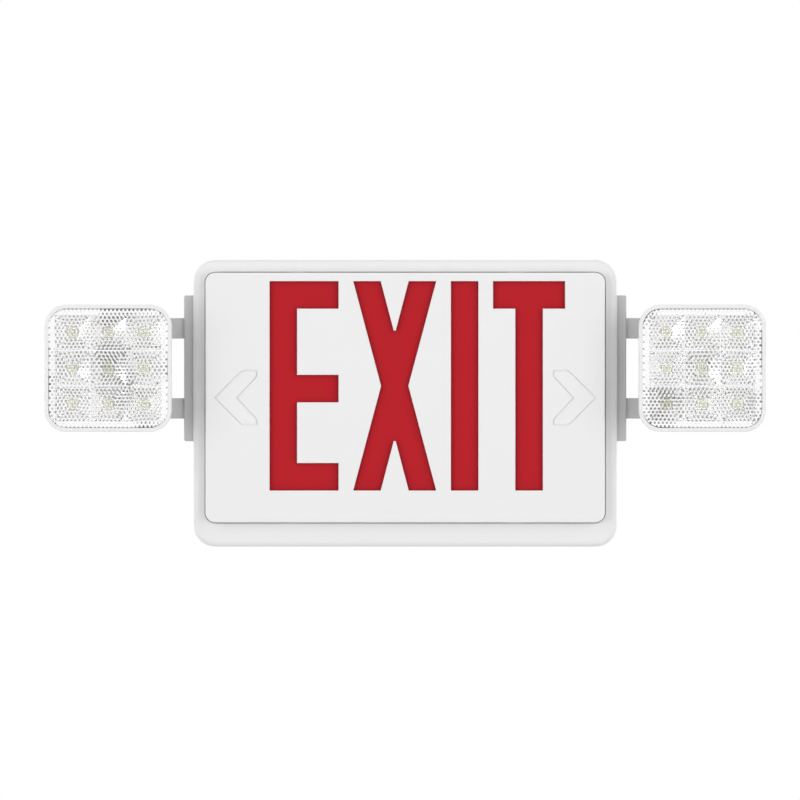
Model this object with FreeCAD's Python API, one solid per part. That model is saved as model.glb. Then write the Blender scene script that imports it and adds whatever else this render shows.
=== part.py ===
"""Emergency exit light: a wall-mounted sign with two swivelling lamp heads. All sizes in mm.

X runs along the wall to the reader's right, Y runs into the wall and Z runs up. The origin is
the centre of the wire entry, on the wall. Depths are written as a distance "out" from the wall,
so a point that stands out by d has y = -d. The right-hand lamp is modelled, and the left-hand
one is its mirror image about X = 0.
"""
import FreeCAD
import Part
import math
import os

Vector = FreeCAD.Vector

# Housing: a moulded box, open at the back, with a frame round the faceplate
HOUSING_WIDTH = 309.0
HOUSING_HEIGHT = 208.8
HOUSING_DEPTH = 38.0
HOUSING_CORNER = 16.0
HOUSING_WALL = 2.5
HOUSING_EDGE_ROUND = 4.5
POST_RADIUS = 9.0
POST_INSET = 11.5

# Faceplate: a shallow tray pushed into the frame, with the legend cut through it
FRAME_SIDE = 9.0
FRAME_TOP = 9.2
FRAME_BOTTOM = 17.5
FACE_CORNER = 7.3
FACE_PROUD = 10.0
FACE_THICKNESS = 3.0
FACE_SKIRT = 2.0
FACE_SKIRT_REACH = 4.0
FACE_GAP = 0.6
FACE_EDGE_ROUND = 1.2
HOOK_WIDTH = 12.0
HOOK_SPACING = 160.0
HOOK_REACH = 3.0
HOOK_BEAD = 1.5
HOOK_GAP = 0.2

# Legend: block letters, six inches tall
LETTER_HEIGHT = 152.4
LETTER_STROKE = 20.0
LETTER_GAP = 10.7
LETTER_TOP_MARGIN = 6.3
LETTER_EDGE = 0.3
WORD_SHIFT = 8.8
E_WIDTH = 50.2
E_MIDDLE_DROP = 2.0
X_WIDTH = 60.4
X_WAIST = 19.8
X_NOTCH_DEPTH = 36.0
X_NOTCH_TIP = 1.5
T_WIDTH = 52.4

# Chevron knock-outs: a thin scored outline at each end of the legend
CHEVRON_HALF_HEIGHT = 20.0
CHEVRON_ARM = 15.3
CHEVRON_END = 3.9
CHEVRON_INSET = 6.7
CHEVRON_RISE = -0.15
CHEVRON_SPAN = 31.0
SCORE_WIDTH = 0.5
SCORE_DEPTH = 0.7

# Coloured panel, and the white light box behind it
PANEL_THICKNESS = 2.0
PANEL_GAP = 0.5
TRAY_DEPTH = 23.0
TRAY_WALL = 1.5
TRAY_CORNER = 24.0
TRAY_GAP = 1.5
STRIP_END_GAP = 8.0
STRIP_WIDTH = 9.0
STRIP_THICKNESS = 1.2
STRIP_SETBACK = 5.0
STRIP_LEDS = 10
STRIP_LED_LENGTH = 3.5
STRIP_LED_WIDTH = 2.8
STRIP_LED_HEIGHT = 1.0

# Back plate
BACK_THICKNESS = 3.0
BACK_GAP = 0.3
WIRE_ENTRY_RADIUS = 11.0
WIRE_ENTRY_COLLAR = 2.0
COLLAR_HEIGHT = 2.5
BOX_SCREW_SPACING = 83.3
BOX_SCREW_RADIUS = 2.25
KEYHOLE_SPACING = 190.0
KEYHOLE_RISE = 60.0
KEYHOLE_HEAD_RADIUS = 4.6
KEYHOLE_SLOT_RADIUS = 2.25
KEYHOLE_SLOT_RUN = 9.0
TRAY_POST_RADIUS = 3.5
TRAY_POST_INSET = 12.0
COVER_SCREW_RADIUS = 1.75
COVER_SCREW_HEAD = 3.6
COVER_SCREW_LENGTH = 16.0
RIB_THICKNESS = 1.6
RIB_HEIGHT = 3.5

# Charger board and what it carries, each placed by shares of the board's half width and height
BOARD_WIDTH = 100.0
BOARD_HEIGHT = 70.0
BOARD_THICKNESS = 1.6
BOARD_SIDE_GAP = 28.5
BOARD_FLOOR_GAP = 38.4
BOARD_STANDOFF = 3.0
BOARD_STANDOFF_RADIUS = 3.5
BOARD_HOLE_INSET = 5.0
BOARD_SCREW_RADIUS = 1.2
BOARD_SCREW_HEAD = 2.6
BOARD_SCREW_HEAD_HEIGHT = 1.6
TRANSFORMER_PLACE = (-0.25, 0.1)
COIL_SIZE = 17.0
COIL_HEIGHT = 11.0
COIL_ROUND = 2.2
CORE_LENGTH = 26.0
CORE_WIDTH = 8.0
CAPACITOR_PLACES = ((-0.8, -0.62), (-0.4, -0.62), (0.0, -0.62))
CAPACITOR_RADII = (5.0, 4.0, 4.0)
CAPACITOR_HEIGHT = 12.0
CAPACITOR_EDGE = 0.5
RELAY_PLACE = (0.38, -0.42)
RELAY_LENGTH = 19.0
RELAY_WIDTH = 15.0
RELAY_HEIGHT = 11.5
RELAY_ROUND = 0.6
TERMINAL_PLACE = (0.3, 0.72)
TERMINAL_WAYS = 3
TERMINAL_PITCH = 7.5
TERMINAL_DEPTH = 10.0
TERMINAL_HEIGHT = 10.0
TERMINAL_MOUTH_RADIUS = 2.25
TERMINAL_MOUTH_RISE = 3.5
TERMINAL_WELL_DEPTH = 2.5
TERMINAL_WELL_SETBACK = 1.0

# Battery pack and its strap
CELL_RADIUS = 7.1
CELL_LENGTH = 50.0
CELL_COUNT = 4
SLEEVE_FLAT = 5.7
BATTERY_SIDE_GAP = 42.1
BATTERY_FLOOR_GAP = 45.4
STRAP_WIDTH = 16.0
STRAP_THICKNESS = 1.4
STRAP_FOOT = 10.0
STRAP_GAP = 0.2

# Test button, its switch, and the charge indicator, in the underside
BUTTON_SIDE_GAP = 92.5
BUTTON_OUT = 13.0
BUTTON_RADIUS = 4.0
BUTTON_GAP = 0.3
BUTTON_FLUSH = 0.2
BUTTON_EDGE = 0.5
BUTTON_TRAVEL = 1.5
BUTTON_FLANGE_RADIUS = 5.6
BUTTON_FLANGE = 1.5
BUTTON_SEAT_GAP = 0.1
SWITCH_SIZE = 6.0
SWITCH_BODY = 3.4
SWITCH_NIB = 1.2
SWITCH_NIB_RADIUS = 1.7
SWITCH_BOARD_LENGTH = 36.0
SWITCH_BOARD_WIDTH = 14.0
SWITCH_POST_RADIUS = 2.4
INDICATOR_SPACING = 14.0
INDICATOR_RADIUS = 2.5
INDICATOR_EDGE = 0.6
INDICATOR_FLANGE_RADIUS = 3.3
INDICATOR_FLANGE = 1.0

# Lamp bracket: a bar against the housing's side and two arms that reach behind the head
BAR_WIDTH = 6.7
BAR_HEIGHT = 106.3
BAR_DEPTH = 20.0
BAR_ROUND = 1.5
HEAD_RISE = 25.5
ARM_HEIGHT = 15.0
ARM_SPACING = 58.4
ARM_ROOT_DEPTH = 13.6
ARM_WALL = 2.4
ARM_ROUND = 1.0
ARM_REACH = 8.5
EYE_RADIUS = 6.5
PIVOT_OUT = 22.0
PIN_RADIUS = 2.5
PIN_CLEARANCE = 0.05
PIN_HEAD_RADIUS = 4.2
PIN_HEAD = 1.5
BRACKET_SCREW_SPACING = 86.0
BRACKET_SCREW_RADIUS = 1.5
BRACKET_SCREW_HEAD = 3.2
BRACKET_SCREW_HEAD_HEIGHT = 2.0
BRACKET_SCREW_DEPTH = 5.0
WIRE_WAY_RADIUS = 3.5

# Lamp head
HEAD_SIZE = 92.4
HEAD_CORNER = 16.0
HEAD_FRONT_OUT = 74.0
HEAD_DEPTH = 30.0
HEAD_BEVEL = 13.0
HEAD_WALL = 2.2
HEAD_EDGE_ROUND = 0.9
LUG_HEIGHT = 10.0
LUG_GAP = 0.3
LUG_WEB = 3.0
LENS_SIZE = 86.4
LENS_CORNER = 13.0
LENS_THICKNESS = 2.2
LENS_RECESS = 0.4
LENS_GAP = 0.15
REFLECTOR_GAP = 0.4
REFLECTOR_DEPTH = 10.0
CUPS_PER_SIDE = 3
CUP_PITCH = 26.0
CUP_MOUTH = 25.2
CUP_FLOOR = 6.6
LAMP_LED_SIZE = 5.0
LAMP_LED_HEIGHT = 1.2
LAMP_BOARD_THICKNESS = 1.6
LAMP_POST_RADIUS = 3.0
LAMP_POST_SPACING = 56.0

# Clearances shared by screws and their holes
SCREW_CLEARANCE = 0.05
HOLE_CLEARANCE = 0.3
BORE_OVERRUN = 1.0

# Places that follow from the sizes above
HOUSING_SIDE = HOUSING_WIDTH / 2
HOUSING_UNDERSIDE = -HOUSING_HEIGHT / 2
UNDERSIDE_INNER = HOUSING_UNDERSIDE + HOUSING_WALL
FACE_WIDTH = HOUSING_WIDTH - 2 * FRAME_SIDE
FACE_HEIGHT = HOUSING_HEIGHT - FRAME_TOP - FRAME_BOTTOM
FACE_RISE = (FRAME_BOTTOM - FRAME_TOP) / 2
FACE_OUT = HOUSING_DEPTH + FACE_PROUD
FACE_BACK_OUT = FACE_OUT - FACE_THICKNESS
SKIRT_OUT = HOUSING_DEPTH - FACE_SKIRT_REACH
PANEL_BACK_OUT = FACE_BACK_OUT - PANEL_THICKNESS
TRAY_BACK_OUT = PANEL_BACK_OUT - TRAY_DEPTH
TRAY_WIDTH = FACE_WIDTH - 2 * (FACE_SKIRT + TRAY_GAP)
TRAY_HEIGHT = FACE_HEIGHT - 2 * (FACE_SKIRT + TRAY_GAP)
STRIP_LENGTH = TRAY_WIDTH - 2 * (TRAY_CORNER + STRIP_END_GAP)
BOARD_X = HOUSING_SIDE - BOARD_SIDE_GAP - BOARD_WIDTH / 2
BOARD_Z = HOUSING_UNDERSIDE + BOARD_FLOOR_GAP + BOARD_HEIGHT / 2
BOARD_BACK_OUT = BACK_THICKNESS + BOARD_STANDOFF
BOARD_FRONT_OUT = BOARD_BACK_OUT + BOARD_THICKNESS
BATTERY_HALF_WIDTH = CELL_COUNT * CELL_RADIUS
BATTERY_X = BATTERY_SIDE_GAP + BATTERY_HALF_WIDTH - HOUSING_SIDE
BATTERY_Z = HOUSING_UNDERSIDE + BATTERY_FLOOR_GAP + CELL_LENGTH / 2
BUTTON_X = HOUSING_SIDE - BUTTON_SIDE_GAP
POST_X = HOUSING_SIDE - POST_INSET
POST_Z = HOUSING_HEIGHT / 2 - POST_INSET
LETTER_TOP = FACE_RISE + FACE_HEIGHT / 2 - LETTER_TOP_MARGIN
LETTER_BOTTOM = LETTER_TOP - LETTER_HEIGHT
LETTER_MIDDLE = (LETTER_TOP + LETTER_BOTTOM) / 2
BAR_SIDE = HOUSING_SIDE + BAR_WIDTH
HEAD_X = BAR_SIDE + ARM_REACH + HEAD_SIZE / 2
HEAD_BACK_OUT = HEAD_FRONT_OUT - HEAD_DEPTH
LENS_BACK_OUT = HEAD_FRONT_OUT - LENS_RECESS - LENS_THICKNESS
LAMP_BOARD_OUT = LENS_BACK_OUT - REFLECTOR_DEPTH
LAMP_BOARD_BACK_OUT = LAMP_BOARD_OUT - LAMP_BOARD_THICKNESS
REFLECTOR_SIZE = LENS_SIZE - 2 * REFLECTOR_GAP
REFLECTOR_CORNER = LENS_CORNER - REFLECTOR_GAP
SWITCH_BOARD_Z = (UNDERSIDE_INNER + BUTTON_SEAT_GAP + BUTTON_FLANGE + BUTTON_TRAVEL
                  + BUTTON_SEAT_GAP + SWITCH_NIB + SWITCH_BODY)


def rounded_outline(width, height, corner, x=0.0, z=0.0):
    """Wire round a rectangle with rounded corners, in the plane of the wall."""
    points = []
    for turn, (side_x, side_z) in enumerate(((1, 1), (-1, 1), (-1, -1), (1, -1))):
        centre_x = x + side_x * (width / 2 - corner)
        centre_z = z + side_z * (height / 2 - corner)
        for step in range(3):
            angle = math.radians(90 * turn + 45 * step)
            points.append(Vector(centre_x + corner * math.cos(angle), 0,
                                 centre_z + corner * math.sin(angle)))
    edges = []
    for first in range(0, len(points), 3):
        start, middle, end = points[first:first + 3]
        edges.append(Part.Arc(start, middle, end).toShape())
        edges.append(Part.LineSegment(end, points[(first + 3) % len(points)]).toShape())
    return Part.Wire(edges)


def polygon_outline(points):
    """Wire through (x, z) points in the plane of the wall."""
    corners = [Vector(x, 0, z) for x, z in points]
    return Part.makePolygon(corners + corners[:1])


def moved_out(wire, out):
    """Copy of a wire, moved to a distance from the wall."""
    copy = wire.copy()
    copy.translate(Vector(0, -out, 0))
    return copy


def slab(wire, out_from, out_to):
    """Solid between two distances from the wall, with the wire as its outline."""
    face = Part.Face(moved_out(wire, out_from))
    return face.extrude(Vector(0, out_from - out_to, 0))


def taper(x, z, side_from, out_from, side_to, out_to):
    """Solid of flat faces that changes from one square to another between two distances."""
    near, far = ([Vector(x + side_x * side / 2, -out, z + side_z * side / 2)
                  for side_x, side_z in ((1, 1), (-1, 1), (-1, -1), (1, -1))]
                 for side, out in ((side_from, out_from), (side_to, out_to)))
    outlines = [near, far]
    for corner in range(4):
        after = (corner + 1) % 4
        outlines.append([near[corner], near[after], far[after], far[corner]])
    faces = [Part.Face(Part.makePolygon(points + points[:1])) for points in outlines]
    return Part.makeSolid(Part.makeShell(faces))


def block(x_range, out_range, z_range):
    """Rectangular solid given by its limits."""
    size = Vector(x_range[1] - x_range[0], out_range[1] - out_range[0], z_range[1] - z_range[0])
    return Part.makeBox(size.x, size.y, size.z, Vector(x_range[0], -out_range[1], z_range[0]))


def rod_out(x, z, radius, out_from, out_to):
    """Cylinder square to the wall."""
    return Part.makeCylinder(radius, out_to - out_from, Vector(x, -out_from, z), Vector(0, -1, 0))


def rod_up(x, out, radius, z_from, z_to):
    """Vertical cylinder."""
    return Part.makeCylinder(radius, z_to - z_from, Vector(x, -out, z_from), Vector(0, 0, 1))


def rod_across(out, z, radius, x_from, x_to):
    """Cylinder along X."""
    return Part.makeCylinder(radius, x_to - x_from, Vector(x_from, -out, z), Vector(1, 0, 0))


def edges_at_out(shape, out):
    """Edges that lie flat at one distance from the wall."""
    return [edge for edge in shape.Edges
            if abs(edge.BoundBox.YMin + out) < 1e-4 and abs(edge.BoundBox.YMax + out) < 1e-4]


def edges_at_height(shape, z):
    """Edges that lie flat at one height."""
    return [edge for edge in shape.Edges
            if abs(edge.BoundBox.ZMin - z) < 1e-4 and abs(edge.BoundBox.ZMax - z) < 1e-4]


def joined(shapes):
    """One solid from overlapping solids."""
    return shapes[0].multiFuse(shapes[1:]).removeSplitter()


def mirrored(shape):
    """The left-hand twin of a right-hand solid."""
    return shape.mirror(Vector(0, 0, 0), Vector(1, 0, 0))


def four_corners(x, z):
    """The four (x, z) places at plus and minus x and z."""
    return [(side_x * x, side_z * z) for side_x in (-1, 1) for side_z in (-1, 1)]


def head_places():
    """Centres (x, z) of the cups in a lamp head."""
    middle = (CUPS_PER_SIDE - 1) / 2
    return [(HEAD_X + (column - middle) * CUP_PITCH, HEAD_RISE + (row - middle) * CUP_PITCH)
            for column in range(CUPS_PER_SIDE) for row in range(CUPS_PER_SIDE)]


# Sign box

def housing():
    """Moulded box with a frame in front, screw posts in its corners and holes in three sides."""
    outline = rounded_outline(HOUSING_WIDTH, HOUSING_HEIGHT, HOUSING_CORNER)
    body = slab(outline, 0, HOUSING_DEPTH)
    body = body.makeFillet(HOUSING_EDGE_ROUND, edges_at_out(body, HOUSING_DEPTH))
    inner = rounded_outline(HOUSING_WIDTH - 2 * HOUSING_WALL, HOUSING_HEIGHT - 2 * HOUSING_WALL,
                            HOUSING_CORNER - HOUSING_WALL)
    mouth = rounded_outline(FACE_WIDTH + 2 * FACE_GAP, FACE_HEIGHT + 2 * FACE_GAP,
                            FACE_CORNER + FACE_GAP, z=FACE_RISE)
    shell = body.cut(slab(inner, 0, HOUSING_DEPTH - HOUSING_WALL))
    shell = shell.cut(slab(mouth, HOUSING_DEPTH - HOUSING_WALL - BORE_OVERRUN,
                           HOUSING_DEPTH + BORE_OVERRUN))
    additions = []
    for x, z in four_corners(POST_X, POST_Z):
        additions.append(rod_out(x, z, POST_RADIUS, BACK_THICKNESS, SKIRT_OUT).common(body))
    additions += switch_posts()
    shell = joined([shell] + additions)
    pilot = COVER_SCREW_RADIUS + SCREW_CLEARANCE
    holes = [rod_out(x, z, pilot, 0, COVER_SCREW_LENGTH + BORE_OVERRUN)
             for x, z in four_corners(POST_X, POST_Z)]
    wall_run = HOUSING_SIDE - HOUSING_WALL - BORE_OVERRUN, HOUSING_SIDE + BORE_OVERRUN
    for z in bracket_screw_heights():
        hole = rod_across(PIVOT_OUT, z, BRACKET_SCREW_RADIUS + HOLE_CLEARANCE, *wall_run)
        holes += [hole, mirrored(hole)]
    wire_way = rod_across(PIVOT_OUT, upper_arm_height(), WIRE_WAY_RADIUS, *wall_run)
    holes += [wire_way, mirrored(wire_way)]
    floor_run = HOUSING_UNDERSIDE - BORE_OVERRUN, UNDERSIDE_INNER + BORE_OVERRUN / 2
    holes.append(rod_up(BUTTON_X, BUTTON_OUT, BUTTON_RADIUS + BUTTON_GAP, *floor_run))
    holes.append(rod_up(BUTTON_X + INDICATOR_SPACING, BUTTON_OUT,
                        INDICATOR_RADIUS + SCREW_CLEARANCE, *floor_run))
    return shell.cut(Part.makeCompound(holes))


def switch_posts():
    """Two posts on the housing's floor that carry the small switch board."""
    reach = SWITCH_BOARD_LENGTH / 2 - SWITCH_POST_RADIUS
    centre = BUTTON_X + INDICATOR_SPACING / 2
    return [rod_up(centre + side * reach, BUTTON_OUT, SWITCH_POST_RADIUS,
                   UNDERSIDE_INNER - HOUSING_WALL / 2, SWITCH_BOARD_Z) for side in (-1, 1)]


def back_plate():
    """Mounting plate that closes the back, with ribs, standoffs and the holes for the wall."""
    trim = 2 * (HOUSING_WALL + BACK_GAP)
    outline = rounded_outline(HOUSING_WIDTH - trim, HOUSING_HEIGHT - trim,
                              HOUSING_CORNER - trim / 2)
    plate = slab(outline, 0, BACK_THICKNESS)
    collar_out = BACK_THICKNESS + COLLAR_HEIGHT
    additions = [rod_out(0, 0, WIRE_ENTRY_RADIUS + WIRE_ENTRY_COLLAR, 0, collar_out)]
    for x, z in tray_post_places():
        additions.append(rod_out(x, z, TRAY_POST_RADIUS, 0, TRAY_BACK_OUT))
    for x, z in board_hole_places():
        additions.append(rod_out(x, z, BOARD_STANDOFF_RADIUS, 0, BOARD_BACK_OUT))
    additions += stiffening_ribs() + battery_stops()
    plate = joined([plate] + additions)
    holes = [rod_out(0, 0, WIRE_ENTRY_RADIUS, -BORE_OVERRUN, collar_out + BORE_OVERRUN)]
    for side in (-1, 1):
        holes.append(rod_out(0, side * BOX_SCREW_SPACING / 2, BOX_SCREW_RADIUS,
                             -BORE_OVERRUN, BACK_THICKNESS + BORE_OVERRUN))
        holes.append(keyhole(side * KEYHOLE_SPACING / 2, KEYHOLE_RISE))
    for x, z in board_hole_places():
        holes.append(rod_out(x, z, BOARD_SCREW_RADIUS + SCREW_CLEARANCE,
                             BACK_THICKNESS / 2, BOARD_BACK_OUT + BORE_OVERRUN))
    for x, z in strap_screw_places():
        holes.append(rod_out(x, z, BOARD_SCREW_RADIUS + SCREW_CLEARANCE,
                             BACK_THICKNESS / 2, BACK_THICKNESS + BORE_OVERRUN))
    for x, z in four_corners(POST_X, POST_Z):
        holes.append(countersunk(x, z, SCREW_CLEARANCE, BACK_THICKNESS + BORE_OVERRUN))
    return plate.cut(Part.makeCompound(holes))


def keyhole(x, z):
    """Cutter for a keyhole: a round hole for the screw's head and a narrow slot above it."""
    run = -BORE_OVERRUN, BACK_THICKNESS + BORE_OVERRUN
    slot = block((x - KEYHOLE_SLOT_RADIUS, x + KEYHOLE_SLOT_RADIUS), run,
                 (z, z + KEYHOLE_SLOT_RUN))
    return joined([rod_out(x, z, KEYHOLE_HEAD_RADIUS, *run), slot,
                   rod_out(x, z + KEYHOLE_SLOT_RUN, KEYHOLE_SLOT_RADIUS, *run)])


def stiffening_ribs():
    """Low ribs on the inside of the back plate, above the board and the battery."""
    out_range = BACK_THICKNESS / 2, BACK_THICKNESS + RIB_HEIGHT
    rib_z = BOARD_Z + BOARD_HEIGHT / 2 + 2 * RIB_THICKNESS
    reach = HOUSING_SIDE - HOUSING_WALL - POST_INSET
    clear = WIRE_ENTRY_RADIUS + WIRE_ENTRY_COLLAR - RIB_THICKNESS / 2
    top = POST_Z + POST_RADIUS / 2
    ribs = []
    for side in (-1, 1):
        inner, outer = sorted((side * clear, side * reach))
        ribs.append(block((inner, outer), out_range, (rib_z, rib_z + RIB_THICKNESS)))
        x = side * KEYHOLE_SPACING / 4
        ribs.append(block((x - RIB_THICKNESS / 2, x + RIB_THICKNESS / 2), out_range,
                          (rib_z, top)))
    return ribs


def tray_post_places():
    """Places (x, z) of the four posts that carry the light box."""
    x = TRAY_WIDTH / 2 - TRAY_CORNER / 2 - TRAY_POST_INSET / 2
    z = TRAY_HEIGHT / 2 - TRAY_POST_INSET
    return [(place_x, place_z + FACE_RISE) for place_x, place_z in four_corners(x, z)]


def countersunk(x, z, clearance, length):
    """Flat-headed screw, or with a clearance the hole that it needs, flush with the wall."""
    head = COVER_SCREW_HEAD + clearance
    shank = COVER_SCREW_RADIUS + clearance
    cone = Part.makeCone(head, shank, head - shank, Vector(x, 0, z), Vector(0, -1, 0))
    return joined([cone, rod_out(x, z, shank, 0, length)])


def cover_screws():
    """Four screws that hold the back plate on the housing's posts."""
    return Part.makeCompound([countersunk(x, z, 0, COVER_SCREW_LENGTH)
                              for x, z in four_corners(POST_X, POST_Z)])


# Faceplate and legend

def letter_e(left):
    """Outline of the E, from its left edge."""
    right = left + E_WIDTH
    stem = left + LETTER_STROKE
    middle_top = LETTER_MIDDLE - E_MIDDLE_DROP + LETTER_STROKE / 2
    middle_bottom = middle_top - LETTER_STROKE
    under_top = LETTER_TOP - LETTER_STROKE
    over_bottom = LETTER_BOTTOM + LETTER_STROKE
    return polygon_outline([
        (left, LETTER_BOTTOM), (right, LETTER_BOTTOM), (right, over_bottom), (stem, over_bottom),
        (stem, middle_bottom), (right, middle_bottom), (right, middle_top), (stem, middle_top),
        (stem, under_top), (right, under_top), (right, LETTER_TOP), (left, LETTER_TOP)])


def letter_x(left):
    """Outline of the X, from its left edge, with a narrow flat at the bottom of each notch."""
    half = X_WIDTH / 2
    centre = left + half
    inner = half - LETTER_STROKE
    quarter = [(half, LETTER_TOP), (inner, LETTER_TOP),
               (X_NOTCH_TIP / 2, LETTER_TOP - X_NOTCH_DEPTH)]
    top = [(centre + x, z) for x, z in quarter] + [(centre - x, z) for x, z in reversed(quarter)]
    bottom = [(2 * centre - x, 2 * LETTER_MIDDLE - z) for x, z in top]
    left_waist = [(centre - X_WAIST / 2, LETTER_MIDDLE)]
    right_waist = [(centre + X_WAIST / 2, LETTER_MIDDLE)]
    return polygon_outline(top + left_waist + bottom + right_waist)


def letter_i(left):
    """Outline of the I, from its left edge."""
    right = left + LETTER_STROKE
    return polygon_outline([(left, LETTER_BOTTOM), (right, LETTER_BOTTOM),
                            (right, LETTER_TOP), (left, LETTER_TOP)])


def letter_t(left):
    """Outline of the T, from its left edge."""
    right = left + T_WIDTH
    stem_left = (left + right - LETTER_STROKE) / 2
    stem_right = stem_left + LETTER_STROKE
    under_bar = LETTER_TOP - LETTER_STROKE
    return polygon_outline([
        (stem_left, LETTER_BOTTOM), (stem_right, LETTER_BOTTOM), (stem_right, under_bar),
        (right, under_bar), (right, LETTER_TOP), (left, LETTER_TOP), (left, under_bar),
        (stem_left, under_bar)])


def legend_outlines():
    """Outlines of the four letters, spaced along the faceplate."""
    letters = ((letter_e, E_WIDTH), (letter_x, X_WIDTH),
               (letter_i, LETTER_STROKE), (letter_t, T_WIDTH))
    word = sum(width for _, width in letters) + LETTER_GAP * (len(letters) - 1)
    left = WORD_SHIFT - word / 2
    outlines = []
    for draw, width in letters:
        outlines.append(draw(left))
        left += width + LETTER_GAP
    return outlines


def chevron_score():
    """Cutter for the scored outline of the right-hand chevron."""
    tip = FACE_WIDTH / 2 - CHEVRON_INSET - SCORE_WIDTH
    end = tip - CHEVRON_SPAN + 2 * SCORE_WIDTH
    middle = FACE_RISE + CHEVRON_RISE
    half = CHEVRON_HALF_HEIGHT - SCORE_WIDTH
    notch = half - CHEVRON_END
    upper = [(tip, 0), (tip - half, half), (end, half), (end, notch)]
    lower = [(x, -z) for x, z in reversed(upper[1:])]
    points = upper + [(tip - CHEVRON_ARM, 0)] + lower
    inner = polygon_outline([(x, middle + z) for x, z in points])
    outer = inner.makeOffset2D(SCORE_WIDTH)
    out_range = FACE_OUT - SCORE_DEPTH, FACE_OUT + BORE_OVERRUN
    return slab(outer, *out_range).cut(slab(inner, *out_range))


def snap_hooks():
    """Hooks on the upper and lower skirt that snap in behind the housing's frame."""
    bead_out = HOUSING_DEPTH - HOUSING_WALL - HOOK_GAP
    tip_out = SKIRT_OUT - HOOK_REACH
    hooks = []
    for side_x, side_z in four_corners(1, 1):
        x = side_x * HOOK_SPACING / 2 - HOOK_WIDTH / 2
        skin = FACE_RISE + side_z * FACE_HEIGHT / 2
        profile = [(bead_out, skin + side_z * HOOK_BEAD), (tip_out, skin),
                   (tip_out, skin - side_z * FACE_SKIRT), (bead_out, skin - side_z * FACE_SKIRT)]
        corners = [Vector(x, -out, z) for out, z in profile]
        face = Part.Face(Part.makePolygon(corners + corners[:1]))
        hooks.append(face.extrude(Vector(HOOK_WIDTH, 0, 0)))
    return hooks


def faceplate():
    """Shallow tray with the letters cut through it and a chevron scored at each end."""
    outline = rounded_outline(FACE_WIDTH, FACE_HEIGHT, FACE_CORNER, z=FACE_RISE)
    inner = rounded_outline(FACE_WIDTH - 2 * FACE_SKIRT, FACE_HEIGHT - 2 * FACE_SKIRT,
                            FACE_CORNER - FACE_SKIRT, z=FACE_RISE)
    tray = slab(outline, SKIRT_OUT, FACE_OUT)
    tray = tray.makeFillet(FACE_EDGE_ROUND, edges_at_out(tray, FACE_OUT))
    tray = joined([tray.cut(slab(inner, SKIRT_OUT, FACE_BACK_OUT))] + snap_hooks())
    for outline in legend_outlines():
        tray = tray.cut(slab(outline, FACE_BACK_OUT - BORE_OVERRUN, FACE_OUT + BORE_OVERRUN))
    letter_edges = [edge for edge in edges_at_out(tray, FACE_OUT)
                    if edge.BoundBox.ZMax < LETTER_TOP + LETTER_EDGE
                    and edge.BoundBox.ZMin > LETTER_BOTTOM - LETTER_EDGE]
    tray = tray.makeChamfer(LETTER_EDGE, letter_edges)
    score = chevron_score()
    return tray.cut(Part.makeCompound([score, mirrored(score)]))


def legend_panel():
    """Translucent coloured sheet that shows through the letters."""
    trim = 2 * (FACE_SKIRT + PANEL_GAP)
    outline = rounded_outline(FACE_WIDTH - trim, FACE_HEIGHT - trim,
                              FACE_CORNER - trim / 2, z=FACE_RISE)
    return slab(outline, PANEL_BACK_OUT, FACE_BACK_OUT)


def light_box():
    """White tray behind the panel, which spreads the light of the two strips."""
    outline = rounded_outline(TRAY_WIDTH, TRAY_HEIGHT, TRAY_CORNER, z=FACE_RISE)
    inner = rounded_outline(TRAY_WIDTH - 2 * TRAY_WALL, TRAY_HEIGHT - 2 * TRAY_WALL,
                            TRAY_CORNER - TRAY_WALL, z=FACE_RISE)
    tray = slab(outline, TRAY_BACK_OUT, PANEL_BACK_OUT)
    return tray.cut(slab(inner, TRAY_BACK_OUT + TRAY_WALL, PANEL_BACK_OUT + BORE_OVERRUN))


def strip_span(side, lift, height):
    """Heights (low, high) of a layer that lies on the light box's upper or lower wall."""
    wall = FACE_RISE + side * (TRAY_HEIGHT / 2 - TRAY_WALL)
    return tuple(sorted((wall - side * lift, wall - side * (lift + height))))


def led_strip(side):
    """Long narrow board along the upper or lower wall of the light box."""
    out = PANEL_BACK_OUT - STRIP_SETBACK
    return block((-STRIP_LENGTH / 2, STRIP_LENGTH / 2), (out - STRIP_WIDTH, out),
                 strip_span(side, 0, STRIP_THICKNESS))


def strip_leds(side):
    """Row of small lamps on one strip."""
    out = PANEL_BACK_OUT - STRIP_SETBACK - STRIP_WIDTH / 2
    pitch = STRIP_LENGTH / STRIP_LEDS
    lamps = []
    for place in range(STRIP_LEDS):
        x = (place + 0.5) * pitch - STRIP_LENGTH / 2
        lamps.append(block((x - STRIP_LED_LENGTH / 2, x + STRIP_LED_LENGTH / 2),
                           (out - STRIP_LED_WIDTH / 2, out + STRIP_LED_WIDTH / 2),
                           strip_span(side, STRIP_THICKNESS, STRIP_LED_HEIGHT)))
    return Part.makeCompound(lamps)


# Electronics

def board_hole_places():
    """Places (x, z) of the circuit board's four screws."""
    return [(BOARD_X + x, BOARD_Z + z)
            for x, z in four_corners(BOARD_WIDTH / 2 - BOARD_HOLE_INSET,
                                     BOARD_HEIGHT / 2 - BOARD_HOLE_INSET)]


def circuit_board():
    """Charger board on the back plate's standoffs."""
    board = block((BOARD_X - BOARD_WIDTH / 2, BOARD_X + BOARD_WIDTH / 2),
                  (BOARD_BACK_OUT, BOARD_FRONT_OUT),
                  (BOARD_Z - BOARD_HEIGHT / 2, BOARD_Z + BOARD_HEIGHT / 2))
    holes = [rod_out(x, z, BOARD_SCREW_RADIUS + HOLE_CLEARANCE,
                     BOARD_BACK_OUT - BORE_OVERRUN, BOARD_FRONT_OUT + BORE_OVERRUN)
             for x, z in board_hole_places()]
    return board.cut(Part.makeCompound(holes))


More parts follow.
